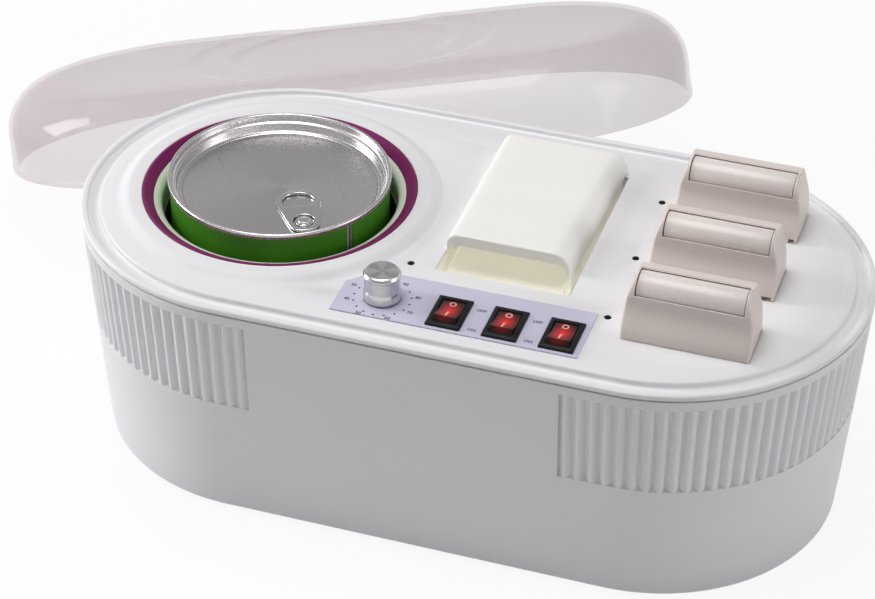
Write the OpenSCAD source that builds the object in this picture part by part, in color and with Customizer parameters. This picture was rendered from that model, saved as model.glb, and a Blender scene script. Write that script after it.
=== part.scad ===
// Roll-on wax heater: one tin pot, three roll-on cartridge wells, a strip compartment and a clear lid.
// +X runs along the long axis, the switches face -Y, and z = 0 is the underside of the lower housing.

/* [Housing] */
// Overall length at the parting line
body_l = 352; // [300:1:420]
// Overall width at the parting line
body_w = 180.4; // [170:0.2:210]
// Height of the parting line between the two housings
parting_z = 110; // [100:1:130]
// How far the wall leans in from the parting line to the bottom
wall_draft = 7.5; // [2:0.5:12]
// Wall thickness of the lower housing
wall_t = 3; // [2.6:0.1:4]
// Thickness of the housing floor
floor_t = 3; // [2:0.1:4]
// Height that the rubber feet stand below the floor
foot_proud = 1; // [0.5:0.1:3]

/* [Fluted bands] */
// Distance between two ribs
rib_pitch = 5.76; // [5:0.01:8]
// Width of one rib
rib_w = 5.2; // [4:0.1:7]
// Depth of the valleys between the ribs
rib_depth = 1.3; // [0.8:0.1:1.6]
// Height of the fluted bands
band_h = 45; // [30:1:60]
// Plain margin between the fluted bands and the parting line
band_margin = 4.5; // [3:0.5:10]
// Ribs along each straight side at the cartridge end
ribs_right = 3; // [1:1:6]
// Ribs along each straight side at the pot end
ribs_left = 2; // [1:1:6]

/* [Top cover] */
// Height of the deck above the parting line
deck_rise = 4.4; // [3:0.1:8]
// Thickness of the cover
cover_t = 2.4; // [2:0.1:3.5]
// Width of the outer rim
rim_w = 3.2; // [2.5:0.1:5]
// Width of the channel that the lid stands in
channel_w = 5.2; // [4:0.1:7]
// Width of the sloping margin round the flat deck
margin_w = 6; // [3:0.5:9]

/* [Pot] */
// How far the pot lies beyond the centre of the round end
pot_shift = 2.7; // [0:0.1:5]
// Radius of the tin over its seams
tin_r = 49.2; // [40:0.1:50.5]
// Height of the tin
tin_h = 107.1; // [88:0.1:112]
// How far the tin stands above the deck
tin_proud = 10.2; // [8:0.1:16]
// Gap between the tin and the pot wall
tin_gap = 2.4; // [0.8:0.1:2.5]
// Wall thickness of the pot
pot_t = 1.5; // [1:0.1:2]
// Outer radius of the coloured collar
collar_r = 60.5; // [60:0.1:64]
// Width of the coloured collar
collar_w = 4.8; // [3:0.1:6]
// Height of the raised ring above the deck
boss_rise = 2.6; // [1:0.1:4]
// Direction that the ring pull points outwards, in degrees
pull_deg = -55; // [-90:5:90]

/* [Cartridges] */
// How far the cartridges lie beyond the centre of the round end
cart_shift = 22.9; // [20:0.1:26]
// Distance between two cartridges
cart_pitch = 45; // [42:0.5:48]
// Middle cartridge along Y
cart_mid_y = 0.8; // [-3:0.1:3]
// Width of a cartridge body
cart_w = 51; // [46:0.5:52]
// Depth of a cartridge body
cart_d = 23; // [19:0.5:24]
// Length of a cartridge body below the deck
cart_h = 92; // [70:1:96]
// Width of a roller head where it meets the deck
head_w = 54.4; // [53:0.1:60]
// Depth of a roller head where it meets the deck
head_d = 25.6; // [25:0.1:30]
// Height of a roller head above the deck
head_h = 26; // [24:0.5:30]
// Radius of a roller
roller_r = 6.8; // [6:0.1:7.2]

/* [Strip compartment] */
// Left edge of the compartment
tray_x0 = -5.5; // [-8:0.5:-4]
// Width of the compartment
tray_w = 59.8; // [50:0.1:60]
// Front edge of the compartment
tray_y0 = -34.5; // [-36:0.5:-30]
// Length of the compartment
tray_l = 95; // [79:0.5:96]
// Width of the slot beside the hood
slot_w = 4; // [3:0.1:6]
// Depth of the compartment below the deck
tray_depth = 44; // [25:1:60]
// How far the strips lie below the deck
strips_below = 10.7; // [8:0.1:20]
// Height of the hood above the deck
hood_rise = 9.6; // [7:0.1:14]
// Length of the mouth in front of the hood
mouth_l = 14; // [10:0.5:30]

/* [Controls] */
// Knob centre along X
knob_x = -19.5; // [-21:0.5:-18]
// Distance from the front edge to the knob
knob_edge = 28.4; // [26:0.1:32]
// Diameter of the knob
knob_d = 16.4; // [14:0.1:20]
// Height of the knob
knob_h = 13.2; // [10:0.1:18]
// First switch along X
switch_x0 = 10.6; // [8:0.1:14]
// Distance between two switches
switch_pitch = 24.3; // [20:0.1:26]
// Distance from the front edge to the switch row
switch_edge = 26.3; // [24:0.1:30]
// Width of a switch bezel
bezel_w = 15; // [13:0.1:17]
// Length of a switch bezel
bezel_l = 21; // [19:0.1:23]
// Travel of a rocker, in degrees
rocker_travel = 18; // [12:1:22]
// Thickness of the control panel
panel_t = 0.6; // [0.3:0.1:1]

/* [Lid] */
// Height of the lid
lid_h = 42; // [40:1:70]
// Wall thickness of the lid
lid_t = 2; // [1.5:0.1:3]
// Radius of the lid's rounded top edge
lid_r = 25; // [15:1:28]
// Turn of the lid where it leans behind the base, in degrees
lid_yaw = 18.4; // [0:0.2:40]
// Lean of the lid against the back of the base, in degrees
lid_lean = 19.8; // [10:0.2:40]
// Tilt along the length of the lid, in degrees
lid_tilt = 7.3; // [0:0.2:12]
// How far the middle of the lid lies beyond the centre of the round end
lid_shift = 30.2; // [0:0.1:60]
// How far the middle of the lid lies behind the back edge
lid_back = 78.6; // [70:0.1:150]

/* [Hidden] */

$fn = 64;
fit = 0.3;            // gap between pieces that lift or turn past each other
run = 0.05;           // radial clearance of a turning pin
seat = 0.1;           // gap between two fixed pieces that rest on each other
eps = 0.5;            // how far a cutter passes through a face

// Outline of the housings: two half rounds joined by straight sides
half_straight = (body_l - body_w) / 2;
top_r = body_w / 2;
bottom_r = top_r - wall_draft;
edge_round = 3;
lean = atan(wall_draft / parting_z);
function wall_r(z) = bottom_r + wall_draft * z / parting_z;

// Heights
deck_z = parting_z + deck_rise;
under_z = deck_z - cover_t;
groove_h = 0.8;
rim_z = deck_z - 1.2;
channel_z = deck_z - 3.5;
boss_z = deck_z + boss_rise;
margin_drop = 0.8;
band_z1 = parting_z - band_margin;
band_z0 = band_z1 - band_h;

// Radii of the cover's steps, from the outside in
rim_in_r = top_r - rim_w;
deck_r = rim_in_r - channel_w;
flat_r = deck_r - margin_w;

// Screw posts
post_r = 4.6;
post_joint_z = 60;
post_arm = bottom_r - 7.7;
post_y = bottom_r - 6.7;
posts = [[-half_straight - post_arm * cos(34), post_arm * sin(34)],
  [33.8 - half_straight, post_y], [half_straight - 10.8, post_y]];
screw_r = 1.75;
screw_head_r = 3.4;

// Feet
foot_r = 8;
foot_sink = 1.2;
foot_arm = bottom_r - 15.7;
foot_at = [half_straight + foot_arm * cos(51), foot_arm * sin(51)];

// Pot stack
pot_x = -half_straight - pot_shift;
tin_top_z = deck_z + tin_proud;
tin_z = tin_top_z - tin_h;
pot_floor_z = tin_z - fit;
pot_in_r = tin_r + tin_gap;
pot_out_r = pot_in_r + pot_t;
pot_bottom_t = 2;
flange_r = pot_out_r + 3.2;
ledge_z = deck_z - 14;
skirt_t = 2.4;
skirt_in_r = flange_r + fit;
boss_flat_r = collar_r + 5.3;
boss_foot_r = boss_flat_r + 6;
collar_seat_z = deck_z - 1.2;
collar_drop = 2.4;

// Tin and its ring pull: u points outwards along pull_deg, v to its left
tin_sheet = 0.4;
seam_h = 2.2;
tin_wall_r = tin_r - 0.9;
panel_z = tin_top_z - 7.3;
panel_r = tin_r - 4.2;
rivet_at = [31.2, 2.7];
tab_turn = -5.4;
tab_back = 24.5;
tab_nose = 7;
tab_half_w = 9.7;
tab_t = 1.1;
window_r = 4.9;
tongue_r = 3.9;
groove_l = 48;
groove_apart = 45.4;
groove_at = [-4.4, 1.9];

// Cartridges
cart_x = half_straight + cart_shift;
cart_ys = [cart_mid_y - cart_pitch, cart_mid_y, cart_mid_y + cart_pitch];
well_gap = 0.7;
sleeve_t = 1.2;
sleeve_ear = 3.7;
well_w = cart_w + 2 * well_gap;
well_d = cart_d + 2 * well_gap;
well_round = 6;
sleeve_top_z = under_z - seat;
cart_bottom_z = deck_z - cart_h;
roller_y = -0.9;
roller_z = deck_z + 19.8;
bed_r = roller_r + 0.4;
bed_w = head_w - 8.5;
bed_lip_deg = 55;
bed_front_deg = 3;
open_r = bed_r + 5;
roller_pin_r = 1.5;
roller_pin_l = 1.4;
notch_w = [0, 4.8, 2.4];

// Compartment
tray_t = 1.6;
tray_rim = 4.8;
tray_x1 = tray_x0 + tray_w;
tray_y1 = tray_y0 + tray_l;
tray_floor_z = deck_z - tray_depth;
strips_z = deck_z - strips_below;
hood_t = 2.2;
hood_lip = 5.4;
hood_z = deck_z + hood_rise;
hood_y0 = tray_y0 + mouth_l;
hood_y1 = tray_y1 + 3.5;
hood_x0 = tray_x0 + 0.4;
hood_x1 = tray_x1 - slot_w;
hood_ledge = 3.1;
hood_ledge_y = hood_y0 + 6;
ledge_w = slot_w + hood_t + 1.2;

// Controls
panel_top_z = deck_z + panel_t;
knob_y = knob_edge - top_r;
switch_y = switch_edge - top_r;
panel_x0 = -38;
panel_x1 = 69;
panel_y0 = 14.2 - top_r;
panel_y1 = 46.4 - top_r;
panel_clear_r = boss_foot_r + 3;
shaft_r = 3;
bush_r = 4.2;
nut_r = 6.9;
knob_z = panel_top_z + 0.6;
bezel_t = 1.6;
bezel_z = panel_top_z + bezel_t;
rocker_w = 10;
rocker_r = 8.2;
rocker_z = bezel_z - 3.4;
rocker_valley = 3.1;
pivot_pin_r = 1.2;
led_r = 1.5;
led_x = cart_x - 35.5;
pot_led = [-16.4, -33.5];

// Power inlet
inlet_x = 12;
inlet_z = 34;
inlet_w = 27;
inlet_h = 19.6;
inlet_flange_w = 31;
inlet_flange_h = 24;
inlet_pad_y = wall_r(inlet_z) - 2.6;
inlet_pin_at = [[-7, -2], [7, -2], [0, 2]];

// Lid, described in its own frame with its open side at z = 0, then leaned behind the base
lid_out_r = rim_in_r - 0.4;
lid_bead_h = 3;
lid_bead_t = 3.2;
lid_x = -half_straight - lid_shift;
lid_y = top_r + lid_back;
lid_z = half_straight * sin(lid_tilt) + lid_out_r * sqrt(1 - pow(cos(lid_tilt) * cos(lid_lean), 2)) - foot_proud;

// Points of an arc in the plane, from a0 to a1 degrees
function arc(cx, cy, r, a0, a1, n) =
  [for (i = [0:n]) let (a = a0 + (a1 - a0) * i / n) [cx + r * cos(a), cy + r * sin(a)]];

// Sweeps a profile round the housing outline: x is the distance from the centre line, y is height
module round_outline(half = half_straight) {
  for (side = [-1, 1])
    translate([side * half, 0, 0]) rotate([0, 0, -90 * side]) rotate_extrude(angle = 180) children();
  for (side = [0, 1])
    mirror([0, side, 0]) translate([-half, 0, 0]) rotate([90, 0, 90]) linear_extrude(2 * half) children();
}

// Rectangle with rounded corners, centred
module rounded_rect(w, d, r) {
  square([w - 2 * r, d], center = true);
  square([w, d - 2 * r], center = true);
  for (x = [-1, 1], y = [-1, 1]) translate([x * (w / 2 - r), y * (d / 2 - r)]) circle(r);
}

// Places a child at every screw post
module at_posts() {
  for (p = posts, side = [-1, 1]) translate([p[0], side * p[1], 0]) children();
}

// ---- Lower housing ----

module housing_profile(r_off, z0, z1) {
  polygon(concat(
    [[0, z0]],
    arc(wall_r(z0) - r_off - edge_round, z0 + edge_round, edge_round, -90, 0, 4),
    [[wall_r(z1) - r_off, z1], [0, z1]]));
}

// Band that is cut back so that the ribs' crests end flush with the wall
module band_profile() {
  polygon([
    [wall_r(band_z0) - rib_depth, band_z0], [wall_r(band_z0) + 2, band_z0],
    [wall_r(band_z1) + 2, band_z1], [wall_r(band_z1) - rib_depth, band_z1]]);
}

// One rib on a wall whose normal is +X, leaning with the wall
module rib() {
  sink = 0.5;
  crest_r = (rib_w * rib_w / 4 + rib_depth * rib_depth) / (2 * rib_depth);
  half_a = asin(rib_w / 2 / crest_r);
  translate([wall_r(band_z0), 0, band_z0]) rotate([0, lean, 0])
    linear_extrude(band_h / cos(lean)) polygon(concat(
      [[-rib_depth - sink, rib_w / 2], [-rib_depth - sink, -rib_w / 2]],
      arc(-crest_r, 0, crest_r, -half_a, half_a, 4)));
}

module band(side, straight_ribs) {
  steps = 24;
  step_deg = 90 / steps;
  translate([side * half_straight, 0, 0])
    for (i = [-steps:steps]) rotate([0, 0, (side > 0 ? 0 : 180) + i * step_deg]) rib();
  for (k = [1:straight_ribs], y = [-1, 1])
    translate([side * (half_straight - k * rib_pitch), 0, 0]) rotate([0, 0, 90 * y]) rib();
}

module band_cut(side, straight_ribs) {
  reach = straight_ribs * rib_pitch + rib_w / 2 + 0.3;
  intersection() {
    round_outline() band_profile();
    translate([side > 0 ? half_straight - reach : -body_l, -body_w, 0])
      cube([body_l - half_straight + reach, 2 * body_w, parting_z]);
  }
}

module lower_housing() color("whitesmoke") difference() {
  union() {
    difference() {
      round_outline() housing_profile(0, 0, parting_z);
      round_outline() housing_profile(wall_t, floor_t, parting_z + eps);
      band_cut(1, ribs_right);
      band_cut(-1, ribs_left);
    }
    band(1, ribs_right);
    band(-1, ribs_left);
    at_posts() translate([0, 0, floor_t - eps]) cylinder(r = post_r, h = post_joint_z - floor_t + eps);
    inlet_pad();
  }
  at_posts() {
    translate([0, 0, -eps]) cylinder(r = screw_head_r + 0.4, h = post_joint_z - 6);
    cylinder(r = screw_r + 0.3, h = post_joint_z + eps);
  }
  foot_places() translate([0, 0, -eps]) cylinder(r = foot_r + 0.2, h = foot_sink + eps);
  inlet_cut();
  floor_vents();
}

module inlet_pad() {
  translate([inlet_x, inlet_pad_y - wall_t / 2, inlet_z])
    cube([inlet_flange_w + 8, wall_t, inlet_flange_h + 8], center = true);
}

module inlet_cut() {
  translate([inlet_x, 0, inlet_z]) {
    translate([-inlet_flange_w / 2 - fit, inlet_pad_y, -inlet_flange_h / 2 - fit])
      cube([inlet_flange_w + 2 * fit, 10, inlet_flange_h + 2 * fit]);
    translate([-inlet_w / 2 - fit, inlet_pad_y - 10, -inlet_h / 2 - fit])
      cube([inlet_w + 2 * fit, 20, inlet_h + 2 * fit]);
  }
}

module floor_vents() {
  vent_l = 26;
  vent_w = 2.6;
  for (bank = [pot_x, cart_x], i = [-2.5:2.5])
    translate([bank + i * 8, 0, -eps]) linear_extrude(floor_t + 2 * eps) {
      square([vent_w, vent_l], center = true);
      for (y = [-1, 1]) translate([0, y * vent_l / 2]) circle(vent_w / 2);
    }
}

// ---- Feet and screws ----

module foot_places() {
  for (x = [-1, 1], y = [-1, 1]) translate([x * foot_at[0], y * foot_at[1], 0]) children();
}

module rubber_feet() color("dimgray") foot_places()
  rotate_extrude() polygon([
    [0, -foot_proud], [foot_r - 0.6, -foot_proud], [foot_r, -foot_proud + 0.6],
    [foot_r, foot_sink - seat], [0, foot_sink - seat]]);

module housing_screws() color("silver") at_posts() {
  head_z = post_joint_z - 6 - eps - 2.4;
  translate([0, 0, head_z]) rotate_extrude() difference() {
    polygon([[0, 0], [screw_head_r - 0.8, 0], [screw_head_r, 0.8], [screw_head_r, 2.3], [screw_r, 2.3],
      [screw_r, 22], [0, 24]]);
    square([1.2, 1.4]);
  }
}

// ---- Top cover ----

module cover_profile() {
  edge = 0.6;
  lip_in = wall_r(parting_z - 6) - wall_t - 2.4;
  lip_out = wall_r(parting_z - 6) - wall_t - 0.2;
  skirt_z = parting_z + groove_h;
  polygon(concat(
    [[0, under_z], [0, deck_z], [flat_r, deck_z], [deck_r - edge, deck_z - margin_drop],
     [deck_r, deck_z - margin_drop - edge], [deck_r, channel_z], [rim_in_r, channel_z],
     [rim_in_r, rim_z - edge], [rim_in_r + edge, rim_z]],
    [for (p = arc(top_r - 1.8, rim_z - 1.8, 1.8, 90, 0, 4)) p],
    [[top_r, skirt_z], [lip_out, skirt_z], [lip_out, parting_z - 6], [lip_in, parting_z - 6],
     [lip_in, channel_z - cover_t], [deck_r - cover_t, channel_z - cover_t], [deck_r - cover_t, under_z]]));
}

module pot_boss() {
  translate([pot_x, 0, 0]) rotate_extrude() polygon(concat(
    [[skirt_in_r - 2, under_z], [skirt_in_r - 2, boss_z - 0.5], [boss_flat_r, boss_z]],
    arc(boss_flat_r, boss_z - 3, 3, 90, 40, 3),
    [[boss_foot_r, deck_z - 0.1], [boss_foot_r, under_z]]));
  translate([pot_x, 0, ledge_z - skirt_t]) cylinder(r = skirt_in_r + skirt_t, h = under_z - ledge_z + skirt_t + eps);
}

module pot_bore() {
  translate([pot_x, 0, 0]) {
    translate([0, 0, collar_seat_z]) cylinder(r = collar_r + 0.2, h = 20);
    translate([0, 0, ledge_z]) cylinder(r = skirt_in_r, h = 30);
    translate([0, 0, ledge_z - 20]) cylinder(r = pot_out_r + 0.4, h = 40);
  }
}

// Opening over the compartment: narrower under the hood, where the deck carries the hood's left wall
module tray_hole() {
  translate([tray_x0, tray_y0, under_z - 5]) cube([tray_w, hood_ledge_y - tray_y0, 10]);
  translate([tray_x0 + hood_ledge, tray_y0, under_z - 5]) cube([tray_w - hood_ledge, tray_l, 10]);
}

module well_hole(z0, h) {
  for (y = cart_ys) translate([cart_x, y, z0]) linear_extrude(h) rounded_rect(well_w, well_d, well_round);
}

module switch_holes() {
  for (i = [0:2]) translate([switch_x0 + i * switch_pitch, switch_y, under_z])
    cube([case_w + 2 * fit, case_l + 2 * fit, 20], center = true);
}

module led_places() {
  translate([pot_led[0], pot_led[1], 0]) children();
  for (y = cart_ys) translate([led_x, y, 0]) children();
}

module sleeve_screw_places() {
  for (y = cart_ys, x = [-1, 1]) translate([cart_x + x * (well_w / 2 + sleeve_ear), y, 0]) children();
}

module top_cover() color("white") difference() {
  union() {
    round_outline() cover_profile();
    pot_boss();
    at_posts() translate([0, 0, post_joint_z + seat])
      cylinder(r = post_r - 0.4, h = under_z - post_joint_z - seat + eps);
  }
  pot_bore();
  tray_hole();
  well_hole(under_z - eps, 20);
  switch_holes();
  translate([knob_x, knob_y, under_z - eps]) cylinder(r = bush_r + 0.1, h = 10);
  led_places() translate([0, 0, under_z - eps]) cylinder(r = led_r + 0.05, h = 10);
  at_posts() translate([0, 0, post_joint_z - eps]) cylinder(r = screw_r + run, h = 24);
  sleeve_screw_places() translate([0, 0, under_z - eps]) cylinder(r = 1.1 + run, h = eps + 1.6);
  tray_screw_places() translate([0, 0, under_z - eps]) cylinder(r = 1.1 + run, h = eps + 1.6);
}

// ---- Pot stack ----

module pot_collar() color("#8c2b6b") translate([pot_x, 0, 0]) rotate_extrude() polygon([
  [collar_r - collar_w, collar_seat_z + seat], [collar_r, collar_seat_z + seat],
  [collar_r, boss_z - 0.3], [collar_r - 0.5, boss_z + 0.2], [collar_r - 1, boss_z + 0.2],
  [collar_r - collar_w, boss_z - collar_drop]]);

module pot_liner() color("ivory") translate([pot_x, 0, 0]) {
  liner_out = skirt_in_r - 0.1;
  liner_in = pot_in_r + 0.4;
  mouth_r = collar_r - collar_w - 0.1;
  base_z = ledge_z + seat + pot_t + seat;
  rotate_extrude() polygon(concat(
    [[liner_in, base_z], [liner_out, base_z], [liner_out, collar_seat_z]],
    [[mouth_r, collar_seat_z], [mouth_r, boss_z - collar_drop - 0.4]],
    arc(mouth_r, boss_z - 6.5, mouth_r - liner_in, 100, 180, 4)));
}

module heating_pot() color("silver") translate([pot_x, 0, 0]) rotate_extrude() {
  flange_z = ledge_z + seat;
  out_z = pot_floor_z - pot_bottom_t;
  round_r = 5;
  polygon(concat(
    [[0, out_z]],
    arc(pot_out_r - round_r, out_z + round_r, round_r, -90, 0, 4),
    [[pot_out_r, flange_z], [flange_r, flange_z], [flange_r, flange_z + pot_t], [pot_in_r, flange_z + pot_t]],
    arc(pot_in_r - round_r + 2, pot_floor_z + round_r - 2, round_r - 2, 0, -90, 3),
    [[0, pot_floor_z]]));
}

module heater_band() color("orangered") translate([pot_x, 0, 0]) {
  band_gap_deg = 14;
  rotate([0, 0, band_gap_deg / 2]) rotate_extrude(angle = 360 - band_gap_deg)
    translate([pot_out_r + seat, 28]) square([1.6, 44]);
}

module thermal_fuse() color("gainsboro") translate([pot_x, 0, 0]) {
  translate([0, 0, pot_floor_z - pot_bottom_t - seat - 1]) cube([34, 9, 2], center = true);
  translate([0, 0, pot_floor_z - pot_bottom_t - seat - 4.4]) rotate([0, 90, 0]) cylinder(r = 2.9, h = 16, center = true);
}

// ---- Tin ----

module tin_body() color("#3c8a1e") translate([pot_x, 0, 0]) difference() {
  rotate_extrude() polygon([
    [0, tin_z + 1.4], [tin_r - 4, tin_z + 1.4], [tin_r - 1.6, tin_z + 0.2], [tin_r - 0.6, tin_z],
    [tin_r, tin_z + 0.5], [tin_r, tin_z + seam_h + 0.3], [tin_wall_r, tin_z + seam_h + 1.2],
    [tin_wall_r, tin_top_z - seam_h - seat], [0, tin_top_z - seam_h - seat]]);
  translate([0, 0, tin_z + 1.4 + tin_sheet]) cylinder(r = tin_wall_r - tin_sheet, h = tin_h);
}

module wax_fill() color("gold") translate([pot_x, 0, tin_z + 1.4 + tin_sheet + seat])
  cylinder(r = tin_wall_r - tin_sheet - seat, h = panel_z - 3 - tin_z);

module in_pull_plan() {
  translate([pot_x, 0, 0]) rotate([0, 0, pull_deg]) children();
}

// Sunk end panel with a bead below the seam and two pressed grooves
module tin_lid() color("lightgray") difference() {
  translate([pot_x, 0, 0]) rotate_extrude() polygon([
    [0, panel_z - tin_sheet], [panel_r + 0.2, panel_z - tin_sheet], [tin_r - 3.3, tin_top_z - 4.2],
    [tin_r - 2, tin_top_z - 3.4], [tin_r - 1.6, tin_top_z - seam_h], [tin_r, tin_top_z - seam_h],
    [tin_r, tin_top_z - 0.6], [tin_r - 0.5, tin_top_z], [tin_r - 1.4, tin_top_z],
    [tin_r - 1.8, tin_top_z - 0.7], [tin_r - 2.3, tin_top_z - 2.9], [tin_r - 3.4, tin_top_z - 3.5],
    [tin_r - 3.8, tin_top_z - 4], [panel_r, panel_z + 0.4], [panel_r - 0.6, panel_z], [0, panel_z]]);
  in_pull_plan() for (v = [-1, 1])
    translate([groove_at[0], groove_at[1] + v * groove_apart / 2, panel_z + 0.15]) rotate([0, 90, 0])
      cylinder(r = 0.35, h = groove_l, center = true);
}

module at_rivet(z) {
  in_pull_plan() translate([rivet_at[0], rivet_at[1], panel_z + z]) rotate([0, 0, tab_turn]) children();
}

// Rivet with the tongue that it holds down inside the ring pull's window
module pull_rivet() color("silver") at_rivet(seat) {
  rotate_extrude() polygon([
    [0, 0], [tongue_r, 0], [tongue_r, tab_t - 0.2], [tongue_r - 0.2, tab_t], [2.6, tab_t],
    [2.3, tab_t + 0.7], [0, tab_t + 0.9]]);
  intersection() {
    translate([-window_r, -2.2, 0]) cube([window_r, 4.4, tab_t - 0.3]);
    cylinder(r = window_r - fit, h = tab_t - 0.3);
  }
}

// Ring pull: finger hole at the back, a window round the rivet's tongue and a nose that it tips over
module pull_tab() color("gainsboro") at_rivet(fit) difference() {
  ring_x = tab_half_w - tab_back;
  union() {
    translate([ring_x, 0, 0]) cylinder(r = tab_half_w, h = tab_t);
    linear_extrude(tab_t) polygon([
      [ring_x + 1.7, tab_half_w - 0.25], [tab_nose - 3, 6.4], [tab_nose - 0.6, 4.4], [tab_nose, 2],
      [tab_nose, -2], [tab_nose - 0.6, -4.4], [tab_nose - 3, -6.4], [ring_x + 1.7, 0.25 - tab_half_w]]);
  }
  translate([0, 0, -eps]) linear_extrude(tab_t + 2 * eps) {
    intersection() {
      translate([ring_x, 0]) circle(tab_half_w - 2.4);
      translate([-tab_back, -tab_half_w]) square([12.4, 2 * tab_half_w]);
    }
    circle(window_r);
  }
}

// ---- Controls ----

case_w = 12.4;
case_l = 18.6;
case_h = 15;

module control_panel() color("lavender") difference() {
  translate([0, 0, deck_z + 0.02]) linear_extrude(panel_t - 0.02) difference() {
    translate([panel_x0, panel_y0]) square([panel_x1 - panel_x0, panel_y1 - panel_y0]);
    translate([pot_x, 0]) circle(panel_clear_r, $fn = 96);
  }
  translate([0, 0, 5]) switch_holes();
  translate([knob_x, knob_y, deck_z - eps]) cylinder(r = bush_r + 0.2, h = 5);
}

module thermostat() color("tan") translate([knob_x, knob_y, 0]) difference() {
  union() {
    translate([-13, -10.5, under_z - seat - 17]) cube([26, 21, 17]);
    translate([0, 0, under_z - seat - eps]) cylinder(r = bush_r, h = panel_top_z - under_z + seat + eps + 2.6);
    for (x = [-8, 8]) translate([x - 3, -0.4, under_z - seat - 24]) cube([6, 0.8, 7.4]);
  }
  translate([0, 0, under_z - 9]) cylinder(r = shaft_r + run, h = 20);
}

module thermostat_shaft() color("gray") translate([knob_x, knob_y, under_z - 9 + fit])
  cylinder(r = shaft_r, h = knob_z + knob_h - 3 - under_z + 9 - fit - seat);

module thermostat_nut() color("silver") translate([knob_x, knob_y, panel_top_z + seat]) difference() {
  cylinder(r = nut_r, h = 2, $fn = 6);
  translate([0, 0, -eps]) cylinder(r = bush_r + 0.02, h = 3);
}

// Turned knob with a flared foot, a waist, a bright chamfer and a hollow that clears the nut
module knob() color("silver") translate([knob_x, knob_y, knob_z]) difference() {
  r = knob_d / 2;
  rotate_extrude() polygon([
    [0, 0], [r - 0.4, 0], [r, 0.5], [r, 1.6], [r - 0.25, 3.2], [r - 0.6, 4.6], [r - 0.6, knob_h - 2.6],
    [r - 0.15, knob_h - 2.1], [r - 0.15, knob_h - 1.1], [r - 0.9, knob_h - 0.15], [r - 1.3, knob_h], [0, knob_h]]);
  translate([0, 0, -eps]) cylinder(r = nut_r + fit, h = 3.4 + eps);
  translate([0, 0, -eps]) cylinder(r = shaft_r + 0.02, h = knob_h - 3 + eps);
}

module at_switch(i) {
  translate([switch_x0 + (i - 1) * switch_pitch, switch_y, 0]) children();
}

module switch_case(i) color("#1c1c1f") at_switch(i) difference() {
  union() {
    translate([-case_w / 2, -case_l / 2, panel_top_z - case_h]) cube([case_w, case_l, case_h + eps]);
    // bezel with a bevelled edge
    translate([0, 0, panel_top_z + 0.02]) intersection() {
      translate([-bezel_w / 2, -bezel_l / 2, 0]) cube([bezel_w, bezel_l, bezel_t - 0.02]);
      rotate([90, 0, 0]) linear_extrude(bezel_l, center = true) polygon([
        [-bezel_w / 2, 0], [bezel_w / 2, 0], [bezel_w / 2, 0.9], [bezel_w / 2 - 0.9, bezel_t],
        [0.9 - bezel_w / 2, bezel_t], [-bezel_w / 2, 0.9]]);
      rotate([90, 0, 90]) linear_extrude(bezel_w, center = true) polygon([
        [-bezel_l / 2, 0], [bezel_l / 2, 0], [bezel_l / 2, 0.9], [bezel_l / 2 - 0.9, bezel_t],
        [0.9 - bezel_l / 2, bezel_t], [-bezel_l / 2, 0.9]]);
    }
    for (y = [-5.5, 0, 5.5]) translate([-0.4, y - 2.4, panel_top_z - case_h - 7]) cube([0.8, 4.8, 7.5]);
  }
  translate([0, 0, rocker_z]) rotate([0, 90, 0]) cylinder(r = rocker_r + fit, h = rocker_w + 2 * fit, center = true);
  translate([0, 0, rocker_z]) rotate([0, 90, 0]) cylinder(r = pivot_pin_r + run, h = rocker_w + 2, center = true);
}

// Rocker at rest with its rear end pressed: a shallow valley on top, arc ends round the pivot
module rocker(i) color("firebrick") at_switch(i) translate([0, 0, rocker_z]) rotate([90, 0, 90]) {
  flat_half = rocker_travel / 2;
  rotate([0, 0, -flat_half]) linear_extrude(rocker_w, center = true) intersection() {
    circle(rocker_r);
    polygon([[-12, -3.2], [12, -3.2], [12, rocker_valley + 12 * tan(flat_half)], [0, rocker_valley],
      [-12, rocker_valley + 12 * tan(flat_half)]]);
  }
  cylinder(r = pivot_pin_r, h = rocker_w + 1.6, center = true);
}

module pilot_lights() color("#101014") led_places() {
  translate([0, 0, under_z - seat - 1]) cylinder(r = led_r + 0.3, h = 1);
  translate([0, 0, under_z - seat - 4]) cylinder(r = led_r, h = deck_z + 0.3 - under_z + seat + 4);
}

// ---- Cartridge wells ----

module well_sleeve(i) color("silver") translate([cart_x, cart_ys[i - 1], 0]) {
  bottom_z = cart_bottom_z - fit;
  outer_w = well_w + 2 * sleeve_t;
  outer_d = well_d + 2 * sleeve_t;
  translate([0, 0, bottom_z - sleeve_t]) linear_extrude(sleeve_t)
    rounded_rect(outer_w, outer_d, well_round + sleeve_t);
  translate([0, 0, bottom_z - sleeve_t / 2]) linear_extrude(sleeve_top_z - bottom_z + sleeve_t / 2) difference() {
    rounded_rect(outer_w, outer_d, well_round + sleeve_t);
    rounded_rect(well_w, well_d, well_round);
  }
  translate([0, 0, sleeve_top_z - sleeve_t]) linear_extrude(sleeve_t) difference() {
    rounded_rect(well_w + 2 * sleeve_ear + 4.6, outer_d, well_round);
    rounded_rect(well_w, well_d, well_round);
    for (x = [-1, 1]) translate([x * (well_w / 2 + sleeve_ear), 0]) circle(1.1 + run);
  }
}

module well_heater(i) color("darkorange")
  translate([cart_x - 17, cart_ys[i - 1] + well_d / 2 + sleeve_t + seat, 40]) cube([34, 5, 40]);

module sleeve_screws() color("silver") sleeve_screw_places() translate([0, 0, sleeve_top_z - sleeve_t - seat - 1.6])
  rotate_extrude() polygon([[0, 0], [1.9, 0], [2.2, 0.4], [2.2, 1.6], [1.1, 1.6], [1.1, 4], [0, 4.4]]);

// ---- Roll-on cartridges ----

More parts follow.
